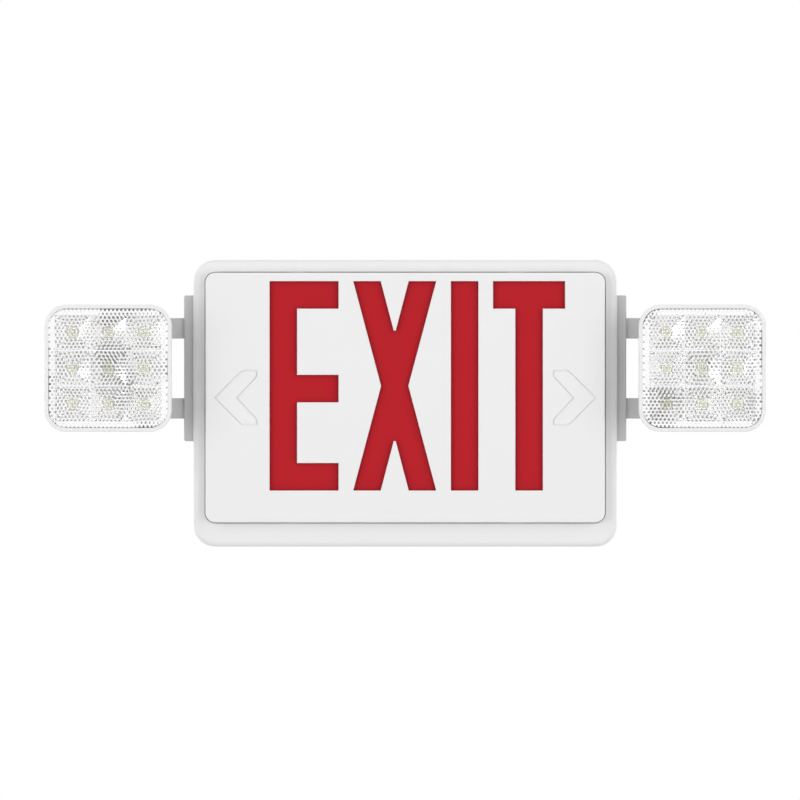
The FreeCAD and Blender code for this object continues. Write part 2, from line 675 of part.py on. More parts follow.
def pan_head_screw(x, z, seat_out, depth):
    """Small screw whose head rests at a distance from the wall."""
    head = rod_out(x, z, BOARD_SCREW_HEAD, seat_out, seat_out + BOARD_SCREW_HEAD_HEIGHT)
    head = head.makeChamfer(BOARD_SCREW_HEAD_HEIGHT / 2,
                            edges_at_out(head, seat_out + BOARD_SCREW_HEAD_HEIGHT))
    return joined([head, rod_out(x, z, BOARD_SCREW_RADIUS, seat_out - depth, seat_out)])


def board_screws():
    """Four screws that hold the circuit board."""
    depth = BOARD_FRONT_OUT - BACK_THICKNESS
    return Part.makeCompound([pan_head_screw(x, z, BOARD_FRONT_OUT, depth)
                              for x, z in board_hole_places()])


def on_board(x, z):
    """Place on the circuit board, as shares of its half width and half height."""
    return BOARD_X + x * BOARD_WIDTH / 2, BOARD_Z + z * BOARD_HEIGHT / 2


def transformer_coil():
    """Taped winding with the core's middle limb running through it."""
    x, z = on_board(*TRANSFORMER_PLACE)
    middle_out = BOARD_FRONT_OUT + COIL_HEIGHT / 2
    coil = block((x - COIL_SIZE / 2, x + COIL_SIZE / 2),
                 (BOARD_FRONT_OUT, BOARD_FRONT_OUT + COIL_HEIGHT),
                 (z - COIL_SIZE / 2, z + COIL_SIZE / 2))
    coil = coil.makeFillet(COIL_ROUND, [edge for edge in coil.Edges
                                        if edge.BoundBox.ZLength > COIL_SIZE / 2])
    limb = rod_across(middle_out, z, CORE_WIDTH / 2 + SCREW_CLEARANCE,
                      x - COIL_SIZE, x + COIL_SIZE)
    return coil.cut(limb)


def transformer_core():
    """Ferrite core: two cheeks, a middle limb and a yoke on each side of the winding."""
    x, z = on_board(*TRANSFORMER_PLACE)
    middle_out = BOARD_FRONT_OUT + COIL_HEIGHT / 2
    out_range = middle_out - CORE_WIDTH / 2, middle_out + CORE_WIDTH / 2
    depth = (CORE_LENGTH - COIL_SIZE) / 2
    frame = block((x - CORE_LENGTH / 2, x + CORE_LENGTH / 2), out_range,
                  (z - CORE_LENGTH / 2, z + CORE_LENGTH / 2))
    window = block((x - CORE_LENGTH / 2 + depth, x + CORE_LENGTH / 2 - depth),
                   (out_range[0] - BORE_OVERRUN, out_range[1] + BORE_OVERRUN),
                   (z - COIL_SIZE / 2, z + COIL_SIZE / 2))
    limb = rod_across(middle_out, z, CORE_WIDTH / 2,
                      x - CORE_LENGTH / 2 + depth / 2, x + CORE_LENGTH / 2 - depth / 2)
    return joined([frame.cut(window), limb])


def capacitors():
    """Electrolytic cans standing on the circuit board."""
    cans = []
    for place, radius in zip(CAPACITOR_PLACES, CAPACITOR_RADII):
        x, z = on_board(*place)
        can = rod_out(x, z, radius, BOARD_FRONT_OUT, BOARD_FRONT_OUT + CAPACITOR_HEIGHT)
        cans.append(can.makeChamfer(CAPACITOR_EDGE,
                                    edges_at_out(can, BOARD_FRONT_OUT + CAPACITOR_HEIGHT)))
    return Part.makeCompound(cans)


def relay():
    """Changeover relay that switches the lamps to the battery."""
    x, z = on_board(*RELAY_PLACE)
    case = block((x - RELAY_LENGTH / 2, x + RELAY_LENGTH / 2),
                 (BOARD_FRONT_OUT, BOARD_FRONT_OUT + RELAY_HEIGHT),
                 (z - RELAY_WIDTH / 2, z + RELAY_WIDTH / 2))
    return case.makeFillet(RELAY_ROUND,
                           edges_at_out(case, BOARD_FRONT_OUT + RELAY_HEIGHT))


def terminal_block():
    """Supply terminals: a row of clamps with a wire mouth and a screw well each."""
    x, z = on_board(*TERMINAL_PLACE)
    length = TERMINAL_WAYS * TERMINAL_PITCH
    low = z - TERMINAL_DEPTH / 2
    out_range = BOARD_FRONT_OUT, BOARD_FRONT_OUT + TERMINAL_HEIGHT
    body = block((x - length / 2, x + length / 2), out_range, (low, low + TERMINAL_DEPTH))
    cutters = []
    for way in range(TERMINAL_WAYS):
        centre = x + (way + 0.5) * TERMINAL_PITCH - length / 2
        cutters.append(rod_up(centre, BOARD_FRONT_OUT + TERMINAL_MOUTH_RISE,
                              TERMINAL_MOUTH_RADIUS, z, low + TERMINAL_DEPTH + BORE_OVERRUN))
        cutters.append(rod_out(centre, z - TERMINAL_WELL_SETBACK, TERMINAL_MOUTH_RADIUS,
                               out_range[1] - TERMINAL_WELL_DEPTH, out_range[1] + BORE_OVERRUN))
    return body.cut(Part.makeCompound(cutters))


# Battery

def battery_pack():
    """Row of round cells sealed in one shrunk sleeve."""
    axis_out = BACK_THICKNESS + CELL_RADIUS
    low = BATTERY_Z - CELL_LENGTH / 2
    first = BATTERY_X - BATTERY_HALF_WIDTH + CELL_RADIUS
    cells = [rod_up(first + 2 * CELL_RADIUS * cell, axis_out, CELL_RADIUS,
                    low, low + CELL_LENGTH) for cell in range(CELL_COUNT)]
    sleeve = block((first, first + 2 * CELL_RADIUS * (CELL_COUNT - 1)),
                   (axis_out - SLEEVE_FLAT, axis_out + SLEEVE_FLAT),
                   (low, low + CELL_LENGTH))
    return joined(cells + [sleeve])


def battery_stops():
    """Two ribs on the back plate that the pack's ends sit between."""
    half = BATTERY_HALF_WIDTH / 2
    out_range = BACK_THICKNESS / 2, BACK_THICKNESS + CELL_RADIUS
    edge = CELL_LENGTH / 2 + STRAP_GAP
    return [block((BATTERY_X - half, BATTERY_X + half), out_range,
                  tuple(sorted((BATTERY_Z + side * edge,
                                BATTERY_Z + side * (edge + RIB_THICKNESS)))))
            for side in (-1, 1)]


def strap_screw_places():
    """Places (x, z) of the two screws through the strap's feet."""
    reach = BATTERY_HALF_WIDTH + STRAP_GAP + STRAP_THICKNESS + STRAP_FOOT / 2
    return [(BATTERY_X + side * reach, BATTERY_Z) for side in (-1, 1)]


def battery_strap():
    """Bent strap over the pack, with a foot on each side."""
    half = BATTERY_HALF_WIDTH + STRAP_GAP
    top = BACK_THICKNESS + 2 * CELL_RADIUS + STRAP_GAP
    z_range = BATTERY_Z - STRAP_WIDTH / 2, BATTERY_Z + STRAP_WIDTH / 2
    outer = half + STRAP_THICKNESS
    bridge = block((BATTERY_X - outer, BATTERY_X + outer),
                   (BACK_THICKNESS, top + STRAP_THICKNESS), z_range)
    inside = block((BATTERY_X - half, BATTERY_X + half), (0, top),
                   (z_range[0] - BORE_OVERRUN, z_range[1] + BORE_OVERRUN))
    feet = block((BATTERY_X - outer - STRAP_FOOT, BATTERY_X + outer + STRAP_FOOT),
                 (BACK_THICKNESS, BACK_THICKNESS + STRAP_THICKNESS), z_range)
    strap = joined([bridge, feet]).cut(inside)
    holes = [rod_out(x, z, BOARD_SCREW_RADIUS + HOLE_CLEARANCE,
                     BACK_THICKNESS - BORE_OVERRUN, BACK_THICKNESS + STRAP_THICKNESS + BORE_OVERRUN)
             for x, z in strap_screw_places()]
    return strap.cut(Part.makeCompound(holes))


def strap_screws():
    """Two screws that hold the strap down."""
    seat = BACK_THICKNESS + STRAP_THICKNESS
    return Part.makeCompound([pan_head_screw(x, z, seat, seat - BACK_THICKNESS / 2)
                              for x, z in strap_screw_places()])


# Underside

def test_button():
    """Round push button, flush with the underside, with a flange that keeps it in."""
    seat = UNDERSIDE_INNER + BUTTON_SEAT_GAP
    cap = rod_up(BUTTON_X, BUTTON_OUT, BUTTON_RADIUS, HOUSING_UNDERSIDE + BUTTON_FLUSH, seat)
    cap = cap.makeChamfer(BUTTON_EDGE,
                          edges_at_height(cap, HOUSING_UNDERSIDE + BUTTON_FLUSH))
    flange = rod_up(BUTTON_X, BUTTON_OUT, BUTTON_FLANGE_RADIUS, seat, seat + BUTTON_FLANGE)
    return joined([cap, flange])


def test_switch():
    """Push switch that hangs from its board, above the button."""
    half = SWITCH_SIZE / 2
    body_low = SWITCH_BOARD_Z - SWITCH_BODY
    body = block((BUTTON_X - half, BUTTON_X + half), (BUTTON_OUT - half, BUTTON_OUT + half),
                 (body_low, SWITCH_BOARD_Z))
    nib = rod_up(BUTTON_X, BUTTON_OUT, SWITCH_NIB_RADIUS, body_low - SWITCH_NIB, body_low)
    return joined([body, nib])


def switch_board():
    """Small board for the switch and the indicator."""
    centre = BUTTON_X + INDICATOR_SPACING / 2
    half_length = SWITCH_BOARD_LENGTH / 2
    half_width = SWITCH_BOARD_WIDTH / 2
    return block((centre - half_length, centre + half_length),
                 (BUTTON_OUT - half_width, BUTTON_OUT + half_width),
                 (SWITCH_BOARD_Z, SWITCH_BOARD_Z + BOARD_THICKNESS))


def indicator_lens():
    """Clear light pipe from the switch board to the underside."""
    x = BUTTON_X + INDICATOR_SPACING
    pipe = rod_up(x, BUTTON_OUT, INDICATOR_RADIUS,
                  HOUSING_UNDERSIDE + BUTTON_FLUSH, SWITCH_BOARD_Z)
    pipe = pipe.makeChamfer(INDICATOR_EDGE,
                            edges_at_height(pipe, HOUSING_UNDERSIDE + BUTTON_FLUSH))
    flange = rod_up(x, BUTTON_OUT, INDICATOR_FLANGE_RADIUS,
                    UNDERSIDE_INNER, UNDERSIDE_INNER + INDICATOR_FLANGE)
    return joined([pipe, flange])


# Lamp brackets

def upper_arm_height():
    """Height of the upper arm's middle."""
    return HEAD_RISE + ARM_SPACING / 2


def bracket_screw_heights():
    """Heights of the two screws that hold a bracket to the housing."""
    return [HEAD_RISE + side * BRACKET_SCREW_SPACING / 2 for side in (-1, 1)]


def plan_outline(root_x, root_half_depth, end_radius):
    """Wire in plan: a tapered arm from x = root_x to a round end about the pivot."""
    run = HEAD_X - root_x
    lean = math.asin((root_half_depth - end_radius) / run)
    touch_x = HEAD_X + end_radius * math.sin(lean)
    touch = end_radius * math.cos(lean)
    near = Vector(touch_x, -PIVOT_OUT - touch, 0)
    tip = Vector(HEAD_X + end_radius, -PIVOT_OUT, 0)
    far = Vector(touch_x, -PIVOT_OUT + touch, 0)
    root_near = Vector(root_x, -PIVOT_OUT - root_half_depth, 0)
    root_far = Vector(root_x, -PIVOT_OUT + root_half_depth, 0)
    return Part.Wire([Part.LineSegment(root_near, near).toShape(),
                      Part.Arc(near, tip, far).toShape(),
                      Part.LineSegment(far, root_far).toShape(),
                      Part.LineSegment(root_far, root_near).toShape()])


def bracket_arm(z):
    """One arm at a height, with an eye at its end and a wire channel open towards the wall."""
    low, high = z - ARM_HEIGHT / 2, z + ARM_HEIGHT / 2
    face = Part.Face(plan_outline(BAR_SIDE - BAR_WIDTH / 2, ARM_ROOT_DEPTH / 2, EYE_RADIUS))
    face.translate(Vector(0, 0, low))
    arm = face.extrude(Vector(0, 0, ARM_HEIGHT))
    long_edges = [edge for edge in edges_at_height(arm, low) + edges_at_height(arm, high)
                  if edge.BoundBox.XMax > BAR_SIDE]
    arm = arm.makeFillet(ARM_ROUND, long_edges)
    channel = block((BAR_SIDE, HEAD_X - EYE_RADIUS - ARM_WALL),
                    (0, PIVOT_OUT + EYE_RADIUS - ARM_WALL), (low + ARM_WALL, high - ARM_WALL))
    return arm.cut(channel)


def lamp_bracket():
    """Bar and arms of the right-hand bracket, moulded as one."""
    bar = block((HOUSING_SIDE, BAR_SIDE),
                (PIVOT_OUT - BAR_DEPTH / 2, PIVOT_OUT + BAR_DEPTH / 2),
                (HEAD_RISE - BAR_HEIGHT / 2, HEAD_RISE + BAR_HEIGHT / 2))
    outer_edges = [edge for edge in bar.Edges if edge.BoundBox.XMin > BAR_SIDE - BAR_WIDTH / 2]
    bar = bar.makeFillet(BAR_ROUND, outer_edges)
    arms = [bracket_arm(HEAD_RISE + side * ARM_SPACING / 2) for side in (-1, 1)]
    body = joined([bar] + arms)
    reach = ARM_SPACING / 2 + ARM_HEIGHT
    cutters = [rod_up(HEAD_X, PIVOT_OUT, PIN_RADIUS + PIN_CLEARANCE,
                      HEAD_RISE - reach, HEAD_RISE + reach)]
    for z in bracket_screw_heights():
        cutters.append(rod_across(PIVOT_OUT, z, BRACKET_SCREW_RADIUS + SCREW_CLEARANCE,
                                  HOUSING_SIDE - BORE_OVERRUN,
                                  HOUSING_SIDE + BRACKET_SCREW_DEPTH + SCREW_CLEARANCE))
    cutters.append(rod_across(PIVOT_OUT, upper_arm_height(), WIRE_WAY_RADIUS,
                              HOUSING_SIDE - BORE_OVERRUN, BAR_SIDE + BORE_OVERRUN))
    return body.cut(Part.makeCompound(cutters))


def bracket_screws():
    """Two screws from inside the housing into the right-hand bar."""
    inner = HOUSING_SIDE - HOUSING_WALL
    screws = []
    for z in bracket_screw_heights():
        head = rod_across(PIVOT_OUT, z, BRACKET_SCREW_HEAD,
                          inner - BRACKET_SCREW_HEAD_HEIGHT, inner)
        shank = rod_across(PIVOT_OUT, z, BRACKET_SCREW_RADIUS,
                           inner, HOUSING_SIDE + BRACKET_SCREW_DEPTH)
        screws.append(joined([head, shank]))
    return Part.makeCompound(screws)


def pivot_pins():
    """Upper and lower pins that the right-hand head turns on."""
    inner = ARM_SPACING / 2 - ARM_HEIGHT / 2 - LUG_GAP - LUG_HEIGHT
    outer = ARM_SPACING / 2 + ARM_HEIGHT / 2
    pins = []
    for side in (-1, 1):
        shank_range = sorted((HEAD_RISE + side * inner, HEAD_RISE + side * outer))
        head_range = sorted((HEAD_RISE + side * outer, HEAD_RISE + side * (outer + PIN_HEAD)))
        pins.append(joined([rod_up(HEAD_X, PIVOT_OUT, PIN_RADIUS, *shank_range),
                            rod_up(HEAD_X, PIVOT_OUT, PIN_HEAD_RADIUS, *head_range)]))
    return Part.makeCompound(pins)


# Lamp heads

def head_outline(size, corner):
    """Rounded square about the centre of the right-hand head."""
    return rounded_outline(size, size, corner, x=HEAD_X, z=HEAD_RISE)


def head_lugs():
    """Two lugs that hold the pivot pins, joined by a web, behind the head."""
    plan = joined([
        Part.makeCylinder(EYE_RADIUS, LUG_HEIGHT, Vector(HEAD_X, -PIVOT_OUT, 0)),
        block((HEAD_X - EYE_RADIUS, HEAD_X + EYE_RADIUS),
              (PIVOT_OUT, HEAD_BACK_OUT + HEAD_WALL / 2), (0, LUG_HEIGHT))])
    top = ARM_SPACING / 2 - ARM_HEIGHT / 2 - LUG_GAP
    lugs = []
    for low in (top - LUG_HEIGHT, -top):
        lug = plan.copy()
        lug.translate(Vector(0, 0, HEAD_RISE + low))
        lugs.append(lug)
    web = block((HEAD_X - LUG_WEB / 2, HEAD_X + LUG_WEB / 2),
                (PIVOT_OUT + EYE_RADIUS / 2, HEAD_BACK_OUT + HEAD_WALL / 2),
                (HEAD_RISE - top + LUG_HEIGHT / 2, HEAD_RISE + top - LUG_HEIGHT / 2))
    return lugs + [web]


def head_hollow():
    """Inside of the dish: a bore for the lens that narrows at the back, parallel to the bevel."""
    size = LENS_SIZE + 2 * LENS_GAP
    floor_out = HEAD_BACK_OUT + HEAD_WALL
    bore = slab(head_outline(size, LENS_CORNER + LENS_GAP), floor_out,
                HEAD_FRONT_OUT + BORE_OVERRUN)
    side_wall = (HEAD_SIZE - size) / 2
    bevel = HEAD_BEVEL - side_wall - HEAD_WALL + HEAD_WALL * math.sqrt(2)
    return bore.makeChamfer(bevel, edges_at_out(bore, floor_out))


def head_shell():
    """Square dish of the right-hand head, with its lugs and the posts for the lamp board."""
    dish = slab(head_outline(HEAD_SIZE, HEAD_CORNER), HEAD_BACK_OUT, HEAD_FRONT_OUT)
    dish = dish.makeChamfer(HEAD_BEVEL, edges_at_out(dish, HEAD_BACK_OUT))
    dish = dish.makeFillet(HEAD_EDGE_ROUND, edges_at_out(dish, HEAD_FRONT_OUT))
    posts = [rod_out(HEAD_X + x, HEAD_RISE + z, LAMP_POST_RADIUS, HEAD_BACK_OUT,
                     LAMP_BOARD_BACK_OUT).common(dish)
             for x, z in four_corners(LAMP_POST_SPACING / 2, LAMP_POST_SPACING / 2)]
    shell = joined([dish.cut(head_hollow())] + posts + head_lugs())
    reach = ARM_SPACING / 2
    pin_bore = rod_up(HEAD_X, PIVOT_OUT, PIN_RADIUS + PIN_CLEARANCE,
                      HEAD_RISE - reach, HEAD_RISE + reach)
    wire_way = rod_out(HEAD_X + EYE_RADIUS + 2 * WIRE_WAY_RADIUS, HEAD_RISE, WIRE_WAY_RADIUS,
                       HEAD_BACK_OUT - BORE_OVERRUN, HEAD_BACK_OUT + HEAD_WALL + BORE_OVERRUN)
    return shell.cut(Part.makeCompound([pin_bore, wire_way]))


def lens():
    """Clear front of the right-hand head."""
    sheet = slab(head_outline(LENS_SIZE, LENS_CORNER), LENS_BACK_OUT,
                 LENS_BACK_OUT + LENS_THICKNESS)
    return sheet.makeChamfer(LENS_RECESS, edges_at_out(sheet, LENS_BACK_OUT + LENS_THICKNESS))


def reflector():
    """Bright plate with a grid of four-sided cups, one round each lamp."""
    plate = slab(head_outline(REFLECTOR_SIZE, REFLECTOR_CORNER), LAMP_BOARD_OUT, LENS_BACK_OUT)
    cups = [taper(x, z, CUP_MOUTH, LENS_BACK_OUT, CUP_FLOOR, LAMP_BOARD_OUT)
            for x, z in head_places()]
    return plate.cut(Part.makeCompound(cups))


def lamp_board():
    """Board behind the reflector that carries the lamps."""
    return slab(head_outline(REFLECTOR_SIZE, REFLECTOR_CORNER), LAMP_BOARD_BACK_OUT,
                LAMP_BOARD_OUT)


def lamp_leds():
    """The lamps, one in each cup."""
    half = LAMP_LED_SIZE / 2
    return Part.makeCompound([block((x - half, x + half),
                                    (LAMP_BOARD_OUT, LAMP_BOARD_OUT + LAMP_LED_HEIGHT),
                                    (z - half, z + half)) for x, z in head_places()])


SIGN_PARTS = {
    "back_plate": back_plate,
    "housing": housing,
    "cover_screws": cover_screws,
    "faceplate": faceplate,
    "legend_panel": legend_panel,
    "light_box": light_box,
    "circuit_board": circuit_board,
    "board_screws": board_screws,
    "transformer_coil": transformer_coil,
    "transformer_core": transformer_core,
    "capacitors": capacitors,
    "relay": relay,
    "terminal_block": terminal_block,
    "battery_pack": battery_pack,
    "battery_strap": battery_strap,
    "strap_screws": strap_screws,
    "test_button": test_button,
    "test_switch": test_switch,
    "switch_board": switch_board,
    "indicator_lens": indicator_lens,
}

LAMP_PARTS = {
    "lamp_bracket": lamp_bracket,
    "bracket_screws": bracket_screws,
    "pivot_pins": pivot_pins,
    "head_shell": head_shell,
    "lens": lens,
    "reflector": reflector,
    "lamp_board": lamp_board,
    "lamp_leds": lamp_leds,
}


def export(name, shape):
    """Write one sub-part."""
    shape.exportStep(os.path.join("parts", name + ".step"))


def main():
    os.makedirs("parts", exist_ok=True)
    for name, build in SIGN_PARTS.items():
        export(name, build())
    for name, side in (("upper", 1), ("lower", -1)):
        export(name + "_led_strip", led_strip(side))
        export(name + "_strip_leds", strip_leds(side))
    for name, build in LAMP_PARTS.items():
        shape = build()
        export("right_" + name, shape)
        export("left_" + name, mirrored(shape))


main()
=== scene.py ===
"""Looks of the emergency exit light: finishes, prismatic lenses, lamps, screws and a plain studio.

Metres throughout. X runs along the wall, Y into it and Z up, and the origin is the centre of the
wire entry on the wall, so a point that stands out by d has y = -d.
"""

import math

import bmesh
import bpy
from bpy.props import FloatProperty, FloatVectorProperty, PointerProperty
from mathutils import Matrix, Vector


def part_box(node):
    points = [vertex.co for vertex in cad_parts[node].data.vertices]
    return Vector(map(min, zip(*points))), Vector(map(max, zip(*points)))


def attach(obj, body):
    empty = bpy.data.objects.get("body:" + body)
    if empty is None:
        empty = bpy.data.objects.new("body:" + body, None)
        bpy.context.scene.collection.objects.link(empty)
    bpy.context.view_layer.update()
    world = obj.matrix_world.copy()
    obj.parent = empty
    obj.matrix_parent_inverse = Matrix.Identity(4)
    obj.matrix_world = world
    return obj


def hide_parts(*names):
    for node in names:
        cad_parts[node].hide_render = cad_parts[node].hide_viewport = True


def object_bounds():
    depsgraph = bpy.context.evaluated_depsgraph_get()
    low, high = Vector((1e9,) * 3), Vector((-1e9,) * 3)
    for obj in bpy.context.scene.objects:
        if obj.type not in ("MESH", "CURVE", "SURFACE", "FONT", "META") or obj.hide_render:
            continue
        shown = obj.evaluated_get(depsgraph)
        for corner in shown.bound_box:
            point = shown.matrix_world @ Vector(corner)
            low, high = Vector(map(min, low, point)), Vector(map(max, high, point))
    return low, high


bl_info = {
    "name": "Emergency exit light looks",
    "version": (1, 0, 0),
    "blender": (4, 5, 0),
    "location": "3D View > Sidebar > Exit Light",
    "description": "Dresses the exit light's frame with finishes, lenses, lamps and a studio",
    "category": "Object",
}

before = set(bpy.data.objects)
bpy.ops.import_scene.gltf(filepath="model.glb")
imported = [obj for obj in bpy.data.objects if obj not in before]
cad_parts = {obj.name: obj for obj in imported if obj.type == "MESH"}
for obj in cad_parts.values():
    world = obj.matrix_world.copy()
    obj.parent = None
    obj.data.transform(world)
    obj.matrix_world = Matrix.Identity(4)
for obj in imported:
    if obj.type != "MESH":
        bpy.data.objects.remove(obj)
CAD_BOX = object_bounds()
SIDES = ("left", "right")
WHITE_NODES = ("housing", "back_plate")

# Shapes, in metres
BACK_CLEARANCE = 0.0003     # between a lens's back and the reflector's rim
PAINTED_WALL_SHADE_DEPTH = 0.0009     # from the face to where the letters' walls take their tint
SKIRT_MARGIN = 0.0045       # from the face to where the painted shade on the letters' walls begins
FACE_TOLERANCE = 0.00001    # within which two depths are the same
MERGE_DISTANCE = 0.000001   # within which two points are one
COMB_MERGE_DISTANCE = 0.00001
LENS_CORNER = 0.013
LENS_CHAMFER = 0.0004
DIMPLE_REACH = 0.0012       # deepest middle of a dimple's slope
FLOOR_REACH = 0.0001        # shallowest middle of a dimple's floor
HEXAGON_FLAT = math.cos(math.pi / 6)     # a hexagon's width across flats, over corners
LAMPS_PER_SIDE = 3
CORNER_SEGMENTS = 10
EDGE_SEGMENTS = 2
DOME_SEGMENTS = 24
DOME_RINGS = 12

# Limits on the depth part of a face's normal, which is 1 where the face looks straight ahead
DOME_LIMIT = 0.9995
FLAT_LIMIT = 0.95
UPRIGHT_LIMIT = 0.2
DOME_SMOOTH_ANGLE = math.radians(40)
SCREW_SMOOTH_ANGLE = math.radians(35)

# Sizes of the marks in the finishes, in metres
MOTTLE_SIZE = 0.035
SHEEN_SIZE = 0.006
SCRATCH_SIZE = 0.0008
# Size of the patches of painted reflection on the lenses
CLOUD_SIZE = 0.03
LENS_HAZE_SIZE = 0.004
LENS_RIPPLE_SIZE = 0.009
LENS_RIPPLE = 0.00001
LEGEND_CLOUD_SIZE = 0.02
LEGEND_SHEEN_SIZE = 0.003
LEGEND_GRAIN_SIZE = 0.0012
LEGEND_GRAIN = 0.000006

# How dark and how light the marks go, as factors on a colour, and what they add to roughness
MOTTLE_SHADES = (0.985, 1.01)
LEGEND_SHADES = (0.97, 1.03)
SHEEN_SPREAD = 0.04
LENS_HAZE = 0.02
LEGEND_ROUGHNESS = 0.42
LEGEND_SHEEN = 0.06

# The noise of the lenses' painted reflection is spread about its middle, so that it reaches from
# bare to full
PAINTED_REFLECTION_CONTRAST = 8.0
PAINTED_REFLECTION_MIDDLE = 0.38

# The stage
FLOOR_GREY = 0.8
FLOOR_GLOW = 1.2
FLOOR_GLOW_SHARE = 0.7
LOBE_SCALE = 4.0            # lifts the peak of x * x * y * y on the unit circle to 1
CLIP_REACH = 4.0            # the far clip, in camera distances


# Sizes and colours that a user would change

def length(name, description, default):
    """A length in metres."""
    return FloatProperty(name=name, description=description, default=default, min=0.0,
                         precision=5, subtype="DISTANCE", unit="LENGTH")


def colour(name, description, default):
    """A linear colour."""
    return FloatVectorProperty(name=name, description=description, default=default, size=3,
                               min=0.0, max=1.0, subtype="COLOR")


def turn(name, description, degrees):
    """An angle, given in degrees."""
    return FloatProperty(name=name, description=description, default=math.radians(degrees),
                         subtype="ANGLE", unit="ROTATION")


def share(name, description, default, highest=1.0):
    """A plain number from nothing to a highest value."""
    return FloatProperty(name=name, description=description, default=default, min=0.0,
                         max=highest, precision=3)


class ExitLightStudio(bpy.types.PropertyGroup):
    """Camera, floor and light."""

    camera_distance: length("Camera distance", "From the lens faces to the camera", 12.0)
    view_width: length("View width", "Width of wall that the picture takes in", 0.5817)
    view_right: FloatProperty(name="View right", description="Picture centre along the wall",
                              default=-0.0038, subtype="DISTANCE", unit="LENGTH", precision=5)
    view_up: FloatProperty(name="View up", description="Picture centre above the wire entry",
                           default=0.0024, subtype="DISTANCE", unit="LENGTH", precision=5)
    aim_out: length("Aim out", "Distance from the wall of the plane shown at true size", 0.06)
    floor_drop: length("Floor drop", "Gap from the housing's underside to the floor", 0.9)
    floor_size: length("Floor size", "Side of the square floor", 5.0)
    side_light: share("Side light", "Strength of the soft light from half left and half right",
                      2.92, 6.0)
    top_light: share("Top light", "Strength of the soft light from above, along the wall",
                     1.7, 6.0)
    low_light: share("Low light", "Strength of the soft light from below, along the wall",
                     0.5, 6.0)
    lamp_strength: share("Front lamp", "Light that the front lamp lays on the sign", 0.014, 5.0)
    lamp_distance: length("Lamp distance", "From the sign to the front lamp", 12.0)
    lamp_width: length("Lamp width", "Side of the square front lamp", 1.1)
    lamp_rise: turn("Lamp rise", "Height of the front lamp as an angle", 4.0)
    lamp_swing: turn("Lamp swing", "Angle of the front lamp to the right", 10.0)


class ExitLightFinish(bpy.types.PropertyGroup):
    """Colours and grain of the mouldings and metals."""

    white: colour("White moulding", "Housing, faceplate and lamp heads", (0.8, 0.8, 0.8))
    # Painted shade: the brackets' white is greyed to stand in for the shade between the housing
    # and the lamp heads.
    bracket: colour("Bracket moulding", "The brackets' slightly duller white", (0.56, 0.56, 0.56))
    legend: colour("Legend", "Panel behind the cut letters", (0.45, 0.009, 0.0165))
    reflector: colour("Reflector", "Bright plating in the lamp heads", (0.97, 0.97, 0.97))
    steel: colour("Steel", "Screws and pivot pins", (0.62, 0.62, 0.63))
    phosphor: colour("Phosphor", "Yellow face of the lamps", (0.96, 0.92, 0.66))
    # Painted reflection: the grey of the dimples stands in for the dark reflections in the lens's
    # prisms.
    prism: colour("Prism", "Tint of the lens's cut dimples", (0.72, 0.72, 0.74))
    # Painted shade: a near-black colour stands in for the shade on the walls of the cut letters.
    letter_wall_painted_shade: colour("Cut wall", "Walls of the cut letters, tinted by the panel",
                     (0.04, 0.012, 0.012))
    grain: length("Grain", "Pitch of the fine grain on the mouldings", 0.00045)


class ExitLightLens(bpy.types.PropertyGroup):
    """The grid of dimples in the lamp lenses."""

    pitch: length("Pitch", "Between dimples in one row", 0.00295)
    dimple: length("Dimple", "Width of a dimple at the face, across its corners", 0.0017)
    floor: length("Dimple floor", "Width of a dimple's flat floor", 0.0006)
    depth: length("Dimple depth", "Depth of a dimple", 0.0006)
    # The cloud spreads that painted reflection into darker and blown-white patches over a lens.
    cloud: share("Cloud", "How far the dimples' tint wanders over a lens", 0.82)


class ExitLightLamps(bpy.types.PropertyGroup):
    """The lamp packages in the lamp heads, three by three on their board."""

    package: length("Package", "Side of a lamp's square white body", 0.005)
    body_height: length("Body height", "From the board to the body's front", 0.0009)
    edge: length("Body edge", "Bevel round the body", 0.00025)
    dome: length("Dome", "Radius of the yellow dome", 0.0018)


class ExitLightFasteners(bpy.types.PropertyGroup):
    """The crossed slots of the cover screws."""

    head_radius: length("Head radius", "From a screw's middle to the edge of its head", 0.0036)
    slot_reach: length("Slot reach", "From a screw's middle to the end of a slot", 0.0019)
    slot_width: length("Slot width", "Width of one slot", 0.0009)
    slot_depth: length("Slot depth", "Depth of the cross", 0.0014)


# Shader nodes

class Signal:
    """A number on a socket. Arithmetic on it adds Math nodes."""

    def __init__(self, nodes, socket):
        self.nodes = nodes
        self.socket = socket

    def __add__(self, other):
        return self.nodes.maths("ADD", self, other)

    def __sub__(self, other):
        return self.nodes.maths("SUBTRACT", self, other)

    def __rsub__(self, other):
        return self.nodes.maths("SUBTRACT", other, self)

    def __mul__(self, other):
        return self.nodes.maths("MULTIPLY", self, other)

    def __truediv__(self, other):
        return self.nodes.maths("DIVIDE", self, other)

    __radd__ = __add__
    __rmul__ = __mul__


